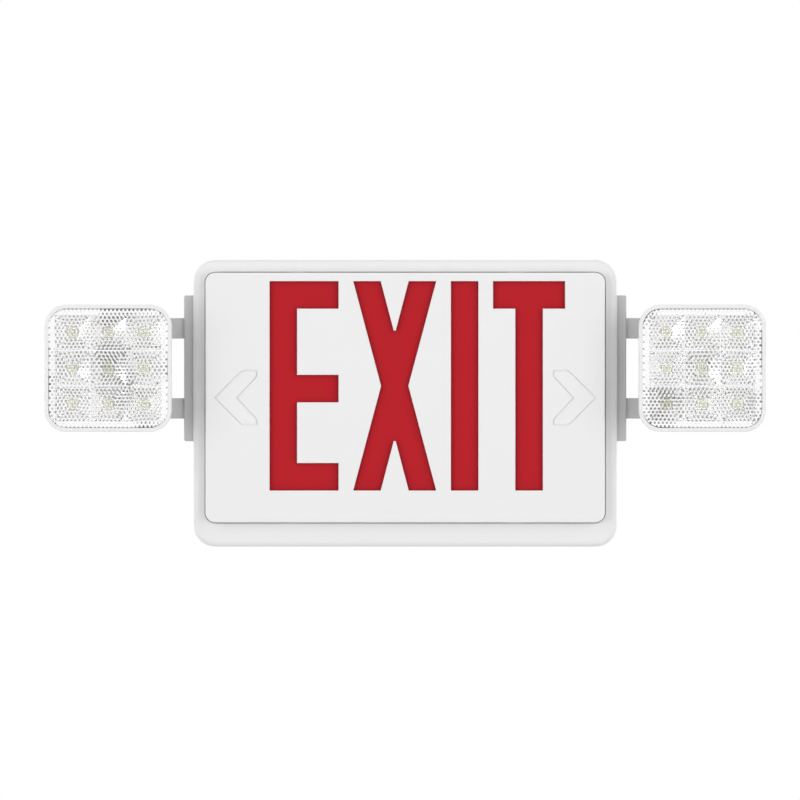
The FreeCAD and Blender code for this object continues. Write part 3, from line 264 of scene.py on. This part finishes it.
class Nodes:
    """Builds the nodes of one tree."""

    def __init__(self, tree):
        self.tree = tree
        self.tree.nodes.clear()

    def node(self, kind, settings=None, sockets=None, output=0):
        """One output of a new node, whose settings are made first and its sockets filled next."""
        made = self.tree.nodes.new(kind)
        for name, value in (settings or {}).items():
            setattr(made, name, value)
        for name, value in (sockets or {}).items():
            if isinstance(value, Signal):
                self.tree.links.new(value.socket, made.inputs[name])
            else:
                made.inputs[name].default_value = value
        return Signal(self, made.outputs[output])

    def maths(self, operation, first, second):
        """The result of a Math node."""
        return self.node("ShaderNodeMath", {"operation": operation}, {0: first, 1: second})

    def mixed(self, factor, first, second):
        """A colour between two."""
        return self.node("ShaderNodeMix", {"data_type": "RGBA"},
                         {0: factor, 6: opaque(first), 7: opaque(second)}, output=2)

    def place(self):
        """The object's own coordinates, in metres."""
        return self.node("ShaderNodeTexCoord", output="Object")

    def axes(self, vector):
        """The three parts of a vector."""
        return [self.node("ShaderNodeSeparateXYZ", {}, {"Vector": vector}, output=axis)
                for axis in ("X", "Y", "Z")]

    def within(self, value, low, high):
        """1 where a value lies between two limits, and 0 elsewhere."""
        return self.maths("GREATER_THAN", value, low) * self.maths("LESS_THAN", value, high)

    def noise(self, size, detail=2.0, roughness=0.5):
        """Noise from 0 to 1, with features of about a size in metres."""
        return self.node("ShaderNodeTexNoise", {}, {
            "Vector": self.place(), "Scale": 1.0 / size, "Detail": detail,
            "Roughness": roughness})

    def bump(self, height, distance, strength=1.0):
        """A normal from a height that stands for a distance in metres."""
        return self.node("ShaderNodeBump", {}, {
            "Height": height, "Distance": distance, "Strength": strength})

    def finish(self, shader, kind="ShaderNodeOutputMaterial"):
        """End the tree with a shader."""
        output = self.tree.nodes.new(kind)
        self.tree.links.new(shader.socket, output.inputs["Surface"])


def opaque(value):
    """A colour with its alpha, or a link as it is."""
    return value if isinstance(value, Signal) else (*value, 1.0)


def shaded(value, factor):
    """A colour made darker or lighter by a factor."""
    return tuple(min(1.0, part * factor) for part in value)


def material(name, base, sockets, build=None):
    """A procedural material: build(nodes) gives further Principled sockets."""
    made = bpy.data.materials.new(name)
    made.use_nodes = True
    nodes = Nodes(made.node_tree)
    filled = dict(sockets)
    filled["Base Color"] = opaque(base)
    if build:
        filled.update(build(nodes))
    nodes.finish(nodes.node("ShaderNodeBsdfPrincipled", {}, filled))
    return made


def moulded(name, base, roughness, grain, depth=0.000012, cover=None):
    """Moulded plastic: a faint mottle in its colour, and a fine even grain."""
    def build(nodes):
        mottle = nodes.noise(MOTTLE_SIZE, detail=3.0)
        fine = nodes.noise(grain)
        dark, light = MOTTLE_SHADES
        plain = nodes.mixed(mottle, shaded(base, dark), shaded(base, light))
        return {
            "Base Color": cover(nodes, plain) if cover else plain,
            "Roughness": roughness - SHEEN_SPREAD + 2 * SHEEN_SPREAD * nodes.noise(SHEEN_SIZE),
            "Normal": nodes.bump(fine, depth),
        }
    return material(name, base, {"IOR": 1.5, "Specular IOR Level": 0.4}, build)


def plated(name, base, roughness, ripple=0.0, ripple_size=0.004):
    """Bright metal with a slow ripple and fine scratches of roughness."""
    def build(nodes):
        wave = nodes.noise(ripple_size, detail=0.0)
        return {
            "Roughness": roughness + roughness * nodes.noise(SCRATCH_SIZE),
            "Normal": nodes.bump(wave, ripple),
        }
    return material(name, base, {"Metallic": 1.0}, build)


def dress(node, finish):
    """Put a material on every slot of a CAD node."""
    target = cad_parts[node]
    if not target.material_slots:
        target.data.materials.append(finish)
    for entry in target.material_slots:
        entry.material = finish


# Modelling helpers

def only(target):
    """Select one object alone and make it active."""
    bpy.ops.object.select_all(action="DESELECT")
    target.select_set(True)
    bpy.context.view_layer.objects.active = target


def named(name):
    """Name the active object and its mesh."""
    made = bpy.context.active_object
    made.name = name
    made.data.name = name
    return made


def settle(target):
    """Put an object's place and size into its mesh."""
    only(target)
    bpy.ops.object.transform_apply(location=True, rotation=True, scale=True)


def apply_modifier(target, kind, **settings):
    """Add a modifier and apply it."""
    only(target)
    modifier = target.modifiers.new(kind.lower(), kind)
    for name, value in settings.items():
        setattr(modifier, name, value)
    bpy.ops.object.modifier_apply(modifier=modifier.name)


def repeat(target, count, step):
    """Repeat an object's mesh along a step."""
    apply_modifier(target, "ARRAY", count=count, use_relative_offset=False,
                   use_constant_offset=True, constant_offset_displace=step)


def pick(target, test, element="faces"):
    """In edit mode, select only the elements that pass a test."""
    mesh = bmesh.from_edit_mesh(target.data)
    for item in [*mesh.verts, *mesh.edges, *mesh.faces]:
        item.select_set(False)
    for item in getattr(mesh, element):
        if test(item):
            item.select_set(True)
    bmesh.update_edit_mesh(target.data)


def tidy_normals(target):
    """Merge doubles and point every face outwards."""
    only(target)
    bpy.ops.object.mode_set(mode="EDIT")
    bpy.ops.mesh.select_all(action="SELECT")
    bpy.ops.mesh.remove_doubles(threshold=MERGE_DISTANCE)
    bpy.ops.mesh.normals_make_consistent(inside=False)
    bpy.ops.object.mode_set(mode="OBJECT")


# Finishes

class EXITLIGHT_OT_mouldings(bpy.types.Operator):
    """Finish the white mouldings of the sign, the brackets and the lamp heads"""

    bl_idname = "exit_light.mouldings"
    bl_label = "Mouldings"

    def execute(self, context):
        finish = context.scene.exit_light_finish
        grain = finish.grain
        white = moulded("white_moulding", finish.white, roughness=0.42, grain=grain)
        # The faceplate's material paints shade onto the walls of the cut letters.
        face = moulded("white_faceplate", finish.white, roughness=0.34, grain=grain,
                       depth=0.000006,
                       cover=lambda nodes, plain: self.paint_letter_wall_shade(nodes, plain, finish.letter_wall_painted_shade))
        # The brackets' greyer white is painted shade.
        bracket = moulded("bracket_moulding", finish.bracket, roughness=0.45, grain=grain)
        button = moulded("grey_moulding", (0.16, 0.16, 0.17), roughness=0.4, grain=grain)
        for node in WHITE_NODES:
            dress(node, white)
        dress("faceplate", face)
        for side in SIDES:
            dress(side + "_head_shell", white)
            dress(side + "_lamp_bracket", bracket)
        dress("test_button", button)
        return {"FINISHED"}

    @staticmethod
    def paint_letter_wall_shade(nodes, plain, tint):
        """Painted shade: the walls of the letters, which lie behind the face and well inside the
        skirt, take a near-black colour.
        """
        low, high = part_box("faceplate")
        x, y, z = nodes.axes(nodes.place())
        inside = nodes.within(y, low.y + PAINTED_WALL_SHADE_DEPTH, high.y)
        inside = inside * nodes.within(x, low.x + SKIRT_MARGIN, high.x - SKIRT_MARGIN)
        inside = inside * nodes.within(z, low.z + SKIRT_MARGIN, high.z - SKIRT_MARGIN)
        return nodes.mixed(inside, plain, tint)


class EXITLIGHT_OT_legend(bpy.types.Operator):
    """Finish the coloured panel, and the light box and strips behind it"""

    bl_idname = "exit_light.legend"
    bl_label = "Legend"

    def execute(self, context):
        finish = context.scene.exit_light_finish
        dress("legend_panel", self.panel(finish.legend))
        box = moulded("light_box_white", (0.9, 0.9, 0.9), roughness=0.55, grain=finish.grain)
        board = moulded("strip_board", (0.8, 0.8, 0.78), roughness=0.4, grain=0.0008)
        lamp = moulded("strip_lamp", (0.85, 0.3, 0.25), roughness=0.3, grain=0.0004)
        dress("light_box", box)
        for strip in ("upper", "lower"):
            dress(strip + "_led_strip", board)
            dress(strip + "_strip_leds", lamp)
        return {"FINISHED"}

    @staticmethod
    def panel(base):
        """Translucent coloured sheet with a satin face."""
        def build(nodes):
            cloud = nodes.noise(LEGEND_CLOUD_SIZE, detail=3.0)
            dark, light = LEGEND_SHADES
            return {
                "Base Color": nodes.mixed(cloud, shaded(base, dark), shaded(base, light)),
                "Roughness": LEGEND_ROUGHNESS + LEGEND_SHEEN * nodes.noise(LEGEND_SHEEN_SIZE),
                "Normal": nodes.bump(nodes.noise(LEGEND_GRAIN_SIZE), LEGEND_GRAIN),
            }
        return material("legend_red", base, {"IOR": 1.49, "Specular IOR Level": 0.15}, build)


class EXITLIGHT_OT_lamp_heads(bpy.types.Operator):
    """Finish the reflectors and boards of the lamp heads, and fit their lamps"""

    bl_idname = "exit_light.lamp_heads"
    bl_label = "Lamp heads"

    def execute(self, context):
        finish = context.scene.exit_light_finish
        mirror = plated("bright_reflector", finish.reflector, roughness=0.04, ripple=0.0006,
                        ripple_size=0.03)
        board = plated("lamp_board_tin", (0.97, 0.95, 0.84), roughness=0.15)
        body = moulded("lamp_body", (0.94, 0.93, 0.82), roughness=0.35, grain=0.0004)
        phosphor = moulded("lamp_phosphor", finish.phosphor, roughness=0.45, grain=0.0004)
        pin = plated("pin_steel", finish.steel, roughness=0.25)
        for side in SIDES:
            dress(side + "_reflector", mirror)
            dress(side + "_lamp_board", board)
            self.lamps(side, context.scene.exit_light_lamps, body, phosphor)
            dress(side + "_pivot_pins", pin)
            dress(side + "_bracket_screws", pin)
        return {"FINISHED"}

    def lamps(self, side, settings, body, phosphor):
        """Square lamp bodies with a domed front, three by three in the cups."""
        low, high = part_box(side + "_lamp_leds")
        lamp = self.package(low, high, settings)
        lamp.name = lamp.data.name = side + "_lamp_packages"
        lamp.data.materials.append(body)
        lamp.data.materials.append(phosphor)
        front = high.y - settings.body_height + FACE_TOLERANCE
        for face in lamp.data.polygons:
            back = max(lamp.data.vertices[i].co.y for i in face.vertices)
            face.material_index = int(back < front and abs(face.normal.y) < DOME_LIMIT)
        span = high - low
        spaces = LAMPS_PER_SIDE - 1
        repeat(lamp, LAMPS_PER_SIDE, ((span.x - settings.package) / spaces, 0, 0))
        repeat(lamp, LAMPS_PER_SIDE, (0, 0, (span.z - settings.package) / spaces))
        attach(lamp, side + "_head")
        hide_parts(side + "_lamp_leds")

    @staticmethod
    def package(low, high, settings):
        """One lamp in the lowest corner: a bevelled block whose front carries a low dome."""
        bpy.ops.object.select_all(action="DESELECT")
        middle = low + Vector((settings.package, 0, settings.package)) / 2
        middle.y = high.y - settings.body_height / 2
        bpy.ops.mesh.primitive_cube_add(size=1.0, location=middle)
        block = named("lamp_package")
        block.scale = (settings.package, settings.body_height, settings.package)
        settle(block)
        bpy.ops.object.mode_set(mode="EDIT")
        pick(block, lambda edge: min(v.co.y for v in edge.verts) < middle.y, "edges")
        bpy.ops.mesh.bevel(offset=settings.edge, segments=EDGE_SEGMENTS, affect="EDGES")
        bpy.ops.object.mode_set(mode="OBJECT")
        bpy.ops.object.select_all(action="DESELECT")
        middle.y = high.y - settings.body_height
        bpy.ops.mesh.primitive_uv_sphere_add(segments=DOME_SEGMENTS, ring_count=DOME_RINGS,
                                             radius=1.0, location=middle,
                                             rotation=(math.pi / 2, 0, 0))
        dome = named("lamp_dome")
        dome.scale = (settings.dome, settings.dome, middle.y - low.y)
        settle(dome)
        bpy.ops.object.mode_set(mode="EDIT")
        bpy.ops.mesh.select_all(action="SELECT")
        bpy.ops.mesh.bisect(plane_co=middle, plane_no=(0, 1, 0), use_fill=True,
                            clear_outer=True)
        bpy.ops.object.mode_set(mode="OBJECT")
        tidy_normals(dome)
        bpy.ops.object.shade_smooth_by_angle(angle=DOME_SMOOTH_ANGLE)
        only(block)
        dome.select_set(True)
        bpy.ops.object.join()
        return bpy.context.active_object


class EXITLIGHT_OT_lenses(bpy.types.Operator):
    """Model the prismatic lenses of the lamp heads"""

    bl_idname = "exit_light.lenses"
    bl_label = "Lenses"

    def execute(self, context):
        settings = context.scene.exit_light_lens
        finish = context.scene.exit_light_finish
        clear = self.clear("clear_lens", (1.0, 1.0, 1.0), roughness=0.0)
        # The dimples' material carries painted reflection: a grey tint in slow darker and lighter
        # patches.
        prism = self.clear("lens_prism", finish.prism, roughness=0.12, cloud=settings.cloud)
        for side in SIDES:
            lens = self.lens(side, settings)
            lens.data.materials.clear()
            lens.data.materials.append(clear)
            lens.data.materials.append(prism)
            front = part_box(side + "_lens")[0].y
            for face in lens.data.polygons:
                face.material_index = int(self.in_dimple(face, front))
            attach(lens, side + "_head")
            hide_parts(side + "_lens")
        return {"FINISHED"}

    @staticmethod
    def in_dimple(face, front):
        """Whether a face belongs to a dimple: a slope or a floor just behind the front."""
        depth = face.center.y - front
        steep = UPRIGHT_LIMIT < abs(face.normal.y) < FLAT_LIMIT and depth < DIMPLE_REACH
        sunk = face.normal.y < -FLAT_LIMIT and depth > FLOOR_REACH
        return steep or sunk

    @staticmethod
    def clear(name, base, roughness, cloud=0.0):
        """Clear acrylic, with a faint ripple from the mould and a slow cloud of painted reflection
        in its tint, in darker and lighter patches.
        """
        def build(nodes):
            painted_reflection_mask = PAINTED_REFLECTION_CONTRAST * (nodes.noise(CLOUD_SIZE) - PAINTED_REFLECTION_MIDDLE)
            return {
                "Base Color": nodes.mixed(painted_reflection_mask, shaded(base, 1 - cloud), shaded(base, 1 + cloud)),
                "Roughness": roughness + LENS_HAZE * nodes.noise(LENS_HAZE_SIZE),
                "Normal": nodes.bump(nodes.noise(LENS_RIPPLE_SIZE), LENS_RIPPLE),
            }
        return material(name, base, {"IOR": 1.49, "Transmission Weight": 1.0}, build)

    def lens(self, side, settings):
        """A rounded sheet whose face is a honeycomb of cells with a dimple in each."""
        low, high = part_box(side + "_lens")
        blank = self.blank(side, low, high)
        comb = self.comb(low, high, settings)
        apply_modifier(blank, "BOOLEAN", operation="INTERSECT", solver="EXACT", object=comb)
        bpy.data.objects.remove(comb)
        tidy_normals(blank)
        return blank

    @staticmethod
    def blank(side, low, high):
        """The sheet's outline: a block with rounded upright edges and a small front chamfer."""
        high = high - Vector((0, BACK_CLEARANCE, 0))
        size = high - low
        middle = (high + low) / 2
        bpy.ops.object.select_all(action="DESELECT")
        bpy.ops.mesh.primitive_cube_add(size=1.0, location=middle)
        sheet = named(side + "_prism_lens")
        sheet.scale = size
        settle(sheet)
        bpy.ops.object.mode_set(mode="EDIT")
        pick(sheet, lambda edge: abs(edge.verts[0].co.y - edge.verts[1].co.y) > size.y / 2,
             "edges")
        bpy.ops.mesh.bevel(offset=LENS_CORNER, segments=CORNER_SEGMENTS, profile=0.5,
                           affect="EDGES")
        front = low.y + MERGE_DISTANCE
        pick(sheet, lambda edge: max(v.co.y for v in edge.verts) < front, "edges")
        bpy.ops.mesh.bevel(offset=LENS_CHAMFER, segments=1, affect="EDGES")
        bpy.ops.object.mode_set(mode="OBJECT")
        return sheet

    @staticmethod
    def comb(low, high, settings):
        """A closed honeycomb slab, a little larger than the sheet, with a dimple in each cell."""
        row = settings.pitch * math.sqrt(3) / 2
        columns = math.ceil((high.x - low.x) / settings.pitch) + 2
        pairs = math.ceil((high.z - low.z) / (2 * row)) + 1
        centre = (high + low) / 2
        start = Vector((centre.x - (columns - 0.5) * settings.pitch / 2, low.y,
                        centre.z - (pairs - 0.5) * row))
        bpy.ops.object.select_all(action="DESELECT")
        bpy.ops.mesh.primitive_circle_add(vertices=6, radius=settings.pitch / math.sqrt(3),
                                          fill_type="NGON", location=start,
                                          rotation=(math.pi / 2, 0, 0))
        comb = named("comb")
        settle(comb)
        bpy.ops.object.mode_set(mode="EDIT")
        bpy.ops.mesh.select_all(action="SELECT")
        rim = (settings.pitch - settings.dimple * HEXAGON_FLAT) / 2
        slope = (settings.dimple - settings.floor) / 2 * HEXAGON_FLAT
        bpy.ops.mesh.inset(thickness=rim, depth=0.0)
        bpy.ops.mesh.inset(thickness=slope, depth=-settings.depth)
        bpy.ops.mesh.select_all(action="SELECT")
        bpy.ops.mesh.duplicate_move(
            TRANSFORM_OT_translate={"value": (settings.pitch / 2, 0, row)})
        bpy.ops.object.mode_set(mode="OBJECT")
        repeat(comb, columns, (settings.pitch, 0, 0))
        repeat(comb, pairs, (0, 0, 2 * row))
        only(comb)
        bpy.ops.object.mode_set(mode="EDIT")
        bpy.ops.mesh.select_all(action="SELECT")
        bpy.ops.mesh.remove_doubles(threshold=COMB_MERGE_DISTANCE)
        thickness = 2 * (high.y - low.y)
        bpy.ops.mesh.extrude_region_move(TRANSFORM_OT_translate={"value": (0, thickness, 0)})
        bpy.ops.transform.resize(value=(1, 0, 1))
        bpy.ops.mesh.select_all(action="SELECT")
        bpy.ops.mesh.normals_make_consistent(inside=False)
        bpy.ops.object.mode_set(mode="OBJECT")
        return comb


class EXITLIGHT_OT_electronics(bpy.types.Operator):
    """Finish what the sign box holds: charger board, battery, switch and indicator"""

    bl_idname = "exit_light.electronics"
    bl_label = "Electronics"

    def execute(self, context):
        steel = plated("bright_steel", context.scene.exit_light_finish.steel, roughness=0.22)
        mouldings = {
            "board_green": ((0.03, 0.16, 0.06), 0.35, 0.0009, "circuit_board", "switch_board"),
            "black_moulding": ((0.02, 0.02, 0.02), 0.4, 0.0006, "relay", "test_switch"),
            "winding_tape": ((0.75, 0.55, 0.1), 0.4, 0.002, "transformer_coil"),
            "ferrite": ((0.04, 0.04, 0.045), 0.55, 0.0008, "transformer_core"),
            "black_sleeve": ((0.015, 0.015, 0.02), 0.25, 0.001, "capacitors"),
            "terminal_green": ((0.02, 0.25, 0.09), 0.4, 0.0006, "terminal_block"),
            "battery_sleeve": ((0.05, 0.2, 0.5), 0.3, 0.002, "battery_pack"),
            "strap_white": ((0.8, 0.8, 0.8), 0.45, 0.0006, "battery_strap"),
            "indicator_green": ((0.05, 0.4, 0.08), 0.15, 0.0006, "indicator_lens"),
        }
        for name, (base, roughness, grain, *parts) in mouldings.items():
            finish = moulded(name, base, roughness, grain)
            for node in parts:
                dress(node, finish)
        for node in ("board_screws", "strap_screws"):
            dress(node, steel)
        return {"FINISHED"}


class EXITLIGHT_OT_fasteners(bpy.types.Operator):
    """Cut crossed slots into the heads of the cover screws"""

    bl_idname = "exit_light.fasteners"
    bl_label = "Fasteners"

    def execute(self, context):
        settings = context.scene.exit_light_fasteners
        low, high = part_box("cover_screws")
        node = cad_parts["cover_screws"]
        screws = bpy.data.objects.new("slotted_screws", node.data.copy())
        context.scene.collection.objects.link(screws)
        tidy_normals(screws)
        for across, up in ((settings.slot_reach, settings.slot_width / 2),
                           (settings.slot_width / 2, settings.slot_reach)):
            self.cut(screws, Vector((2 * across, 2 * settings.slot_depth, 2 * up)),
                     low, high, settings.head_radius)
        screws.data.materials.clear()
        screws.data.materials.append(
            plated("screw_steel", context.scene.exit_light_finish.steel, roughness=0.3))
        bpy.ops.object.shade_smooth_by_angle(angle=SCREW_SMOOTH_ANGLE)
        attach(screws, "sign")
        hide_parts("cover_screws")
        return {"FINISHED"}

    @staticmethod
    def cut(screws, size, low, high, radius):
        """Cut one slot into each of the four heads, which lie at the corners of a box."""
        bpy.ops.object.select_all(action="DESELECT")
        bpy.ops.mesh.primitive_cube_add(
            size=1.0, location=(low.x + radius, high.y, low.z + radius))
        cutter = named("slot_cutter")
        cutter.scale = size
        settle(cutter)
        span = high - low - Vector((2 * radius, 0, 2 * radius))
        repeat(cutter, 2, (span.x, 0, 0))
        repeat(cutter, 2, (0, 0, span.z))
        apply_modifier(screws, "BOOLEAN", operation="DIFFERENCE", solver="EXACT",
                       object=cutter)
        bpy.data.objects.remove(cutter)


# Stage

class EXITLIGHT_OT_stage(bpy.types.Operator):
    """Set up the floor, the sky, the front lamp and the camera"""

    bl_idname = "exit_light.stage"
    bl_label = "Studio"

    def execute(self, context):
        studio = context.scene.exit_light_studio
        context.scene.view_settings.view_transform = "Standard"
        self.floor(studio)
        self.sky(context.scene, studio)
        self.lamp(studio)
        self.camera(context.scene, studio)
        return {"FINISHED"}

    @staticmethod
    def floor(studio):
        """Pale floor, shown white to the camera and still holding the object's shadow."""
        bpy.ops.object.select_all(action="DESELECT")
        height = CAD_BOX[0].z - studio.floor_drop
        bpy.ops.mesh.primitive_plane_add(size=studio.floor_size, location=(0, 0, height))
        floor = named("studio_floor")
        settle(floor)
        made = bpy.data.materials.new("studio_floor")
        made.use_nodes = True
        nodes = Nodes(made.node_tree)
        matt = nodes.node("ShaderNodeBsdfDiffuse", {}, {"Color": opaque([FLOOR_GREY] * 3)})
        glow = nodes.node("ShaderNodeEmission", {}, {"Strength": FLOOR_GLOW})
        seen = nodes.node("ShaderNodeLightPath", output="Is Camera Ray")
        nodes.finish(nodes.node("ShaderNodeMixShader", {},
                                {0: seen * FLOOR_GLOW_SHARE, 1: matt, 2: glow}))
        floor.data.materials.append(made)

    @staticmethod
    def sky(scene, studio):
        """Soft light from half left and half right, and along the wall from above and below.

        It is plain white where the camera, a mirror or a clear part shows it.
        """
        world = bpy.data.worlds.new("studio_sky")
        world.use_nodes = True
        nodes = Nodes(world.node_tree)
        direction = nodes.node("ShaderNodeTexCoord", output="Generated")
        x, y, z = nodes.axes(direction)
        depth = nodes.maths("ABSOLUTE", y, 0.0)
        above = nodes.maths("GREATER_THAN", z, 0.0)
        edge = (1 - depth) * (1 - depth) * z * z
        edge_light = studio.low_light + (studio.top_light - studio.low_light) * above
        soft = LOBE_SCALE * studio.side_light * x * x * y * y + edge * edge_light
        seen, glossy, through = (nodes.node("ShaderNodeLightPath", output=kind) for kind in
                                 ("Is Camera Ray", "Is Glossy Ray", "Is Transmission Ray"))
        shiny = nodes.maths("MAXIMUM", soft, nodes.maths("MAXIMUM", glossy, through))
        strength = shiny * (1 - seen) + seen
        nodes.finish(nodes.node("ShaderNodeBackground", {}, {
            "Color": (1.0, 1.0, 1.0, 1.0), "Strength": strength}),
                     "ShaderNodeOutputWorld")
        scene.world = world

    @staticmethod
    def lamp(studio):
        """Weak distant lamp in front, whose glints show in the reflectors."""
        data = bpy.data.lights.new("front_lamp", "AREA")
        data.size = studio.lamp_width
        data.energy = studio.lamp_strength * math.pi ** 2 * studio.lamp_distance ** 2
        lamp = bpy.data.objects.new("front_lamp", data)
        bpy.context.scene.collection.objects.link(lamp)
        level = math.cos(studio.lamp_rise)
        reach = Vector((level * math.sin(studio.lamp_swing), -level * math.cos(studio.lamp_swing),
                        math.sin(studio.lamp_rise)))
        lamp.location = reach * studio.lamp_distance
        lamp.rotation_euler = reach.to_track_quat("Z", "Y").to_euler()
        lamp.visible_camera = False

    @staticmethod
    def camera(scene, studio):
        """Distant camera, square to the wall."""
        data = bpy.data.cameras.new("camera")
        data.lens = data.sensor_width * studio.camera_distance / studio.view_width
        data.clip_end = CLIP_REACH * studio.camera_distance
        camera = bpy.data.objects.new("camera", data)
        scene.collection.objects.link(camera)
        camera.location = (studio.view_right, -studio.aim_out - studio.camera_distance,
                           studio.view_up)
        camera.rotation_euler = (math.pi / 2, 0, 0)
        scene.camera = camera


# Add-on

OPERATORS = (
    EXITLIGHT_OT_stage,
    EXITLIGHT_OT_mouldings,
    EXITLIGHT_OT_legend,
    EXITLIGHT_OT_lamp_heads,
    EXITLIGHT_OT_lenses,
    EXITLIGHT_OT_electronics,
    EXITLIGHT_OT_fasteners,
)

SETTINGS = {
    "exit_light_studio": ExitLightStudio,
    "exit_light_finish": ExitLightFinish,
    "exit_light_lens": ExitLightLens,
    "exit_light_lamps": ExitLightLamps,
    "exit_light_fasteners": ExitLightFasteners,
}


class EXITLIGHT_PT_panel(bpy.types.Panel):
    """Lists the steps that dress the exit light"""

    bl_idname = "EXITLIGHT_PT_panel"
    bl_label = "Exit Light"
    bl_space_type = "VIEW_3D"
    bl_region_type = "UI"
    bl_category = "Exit Light"

    def draw(self, context):
        for operator in OPERATORS:
            self.layout.operator(operator.bl_idname)


def register():
    """Add the settings, the steps and the panel."""
    for settings in SETTINGS.values():
        bpy.utils.register_class(settings)
    for operator in OPERATORS:
        bpy.utils.register_class(operator)
    bpy.utils.register_class(EXITLIGHT_PT_panel)
    for name, settings in SETTINGS.items():
        setattr(bpy.types.Scene, name, PointerProperty(type=settings))


def unregister():
    """Take out what register added."""
    for name in SETTINGS:
        delattr(bpy.types.Scene, name)
    bpy.utils.unregister_class(EXITLIGHT_PT_panel)
    for operator in reversed(OPERATORS):
        bpy.utils.unregister_class(operator)
    for settings in reversed(list(SETTINGS.values())):
        bpy.utils.unregister_class(settings)


def main():
    """Register the add-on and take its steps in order."""
    register()
    for operator in OPERATORS:
        getattr(bpy.ops.exit_light, operator.bl_idname.partition(".")[2])()


if __name__ == "__main__":
    main()
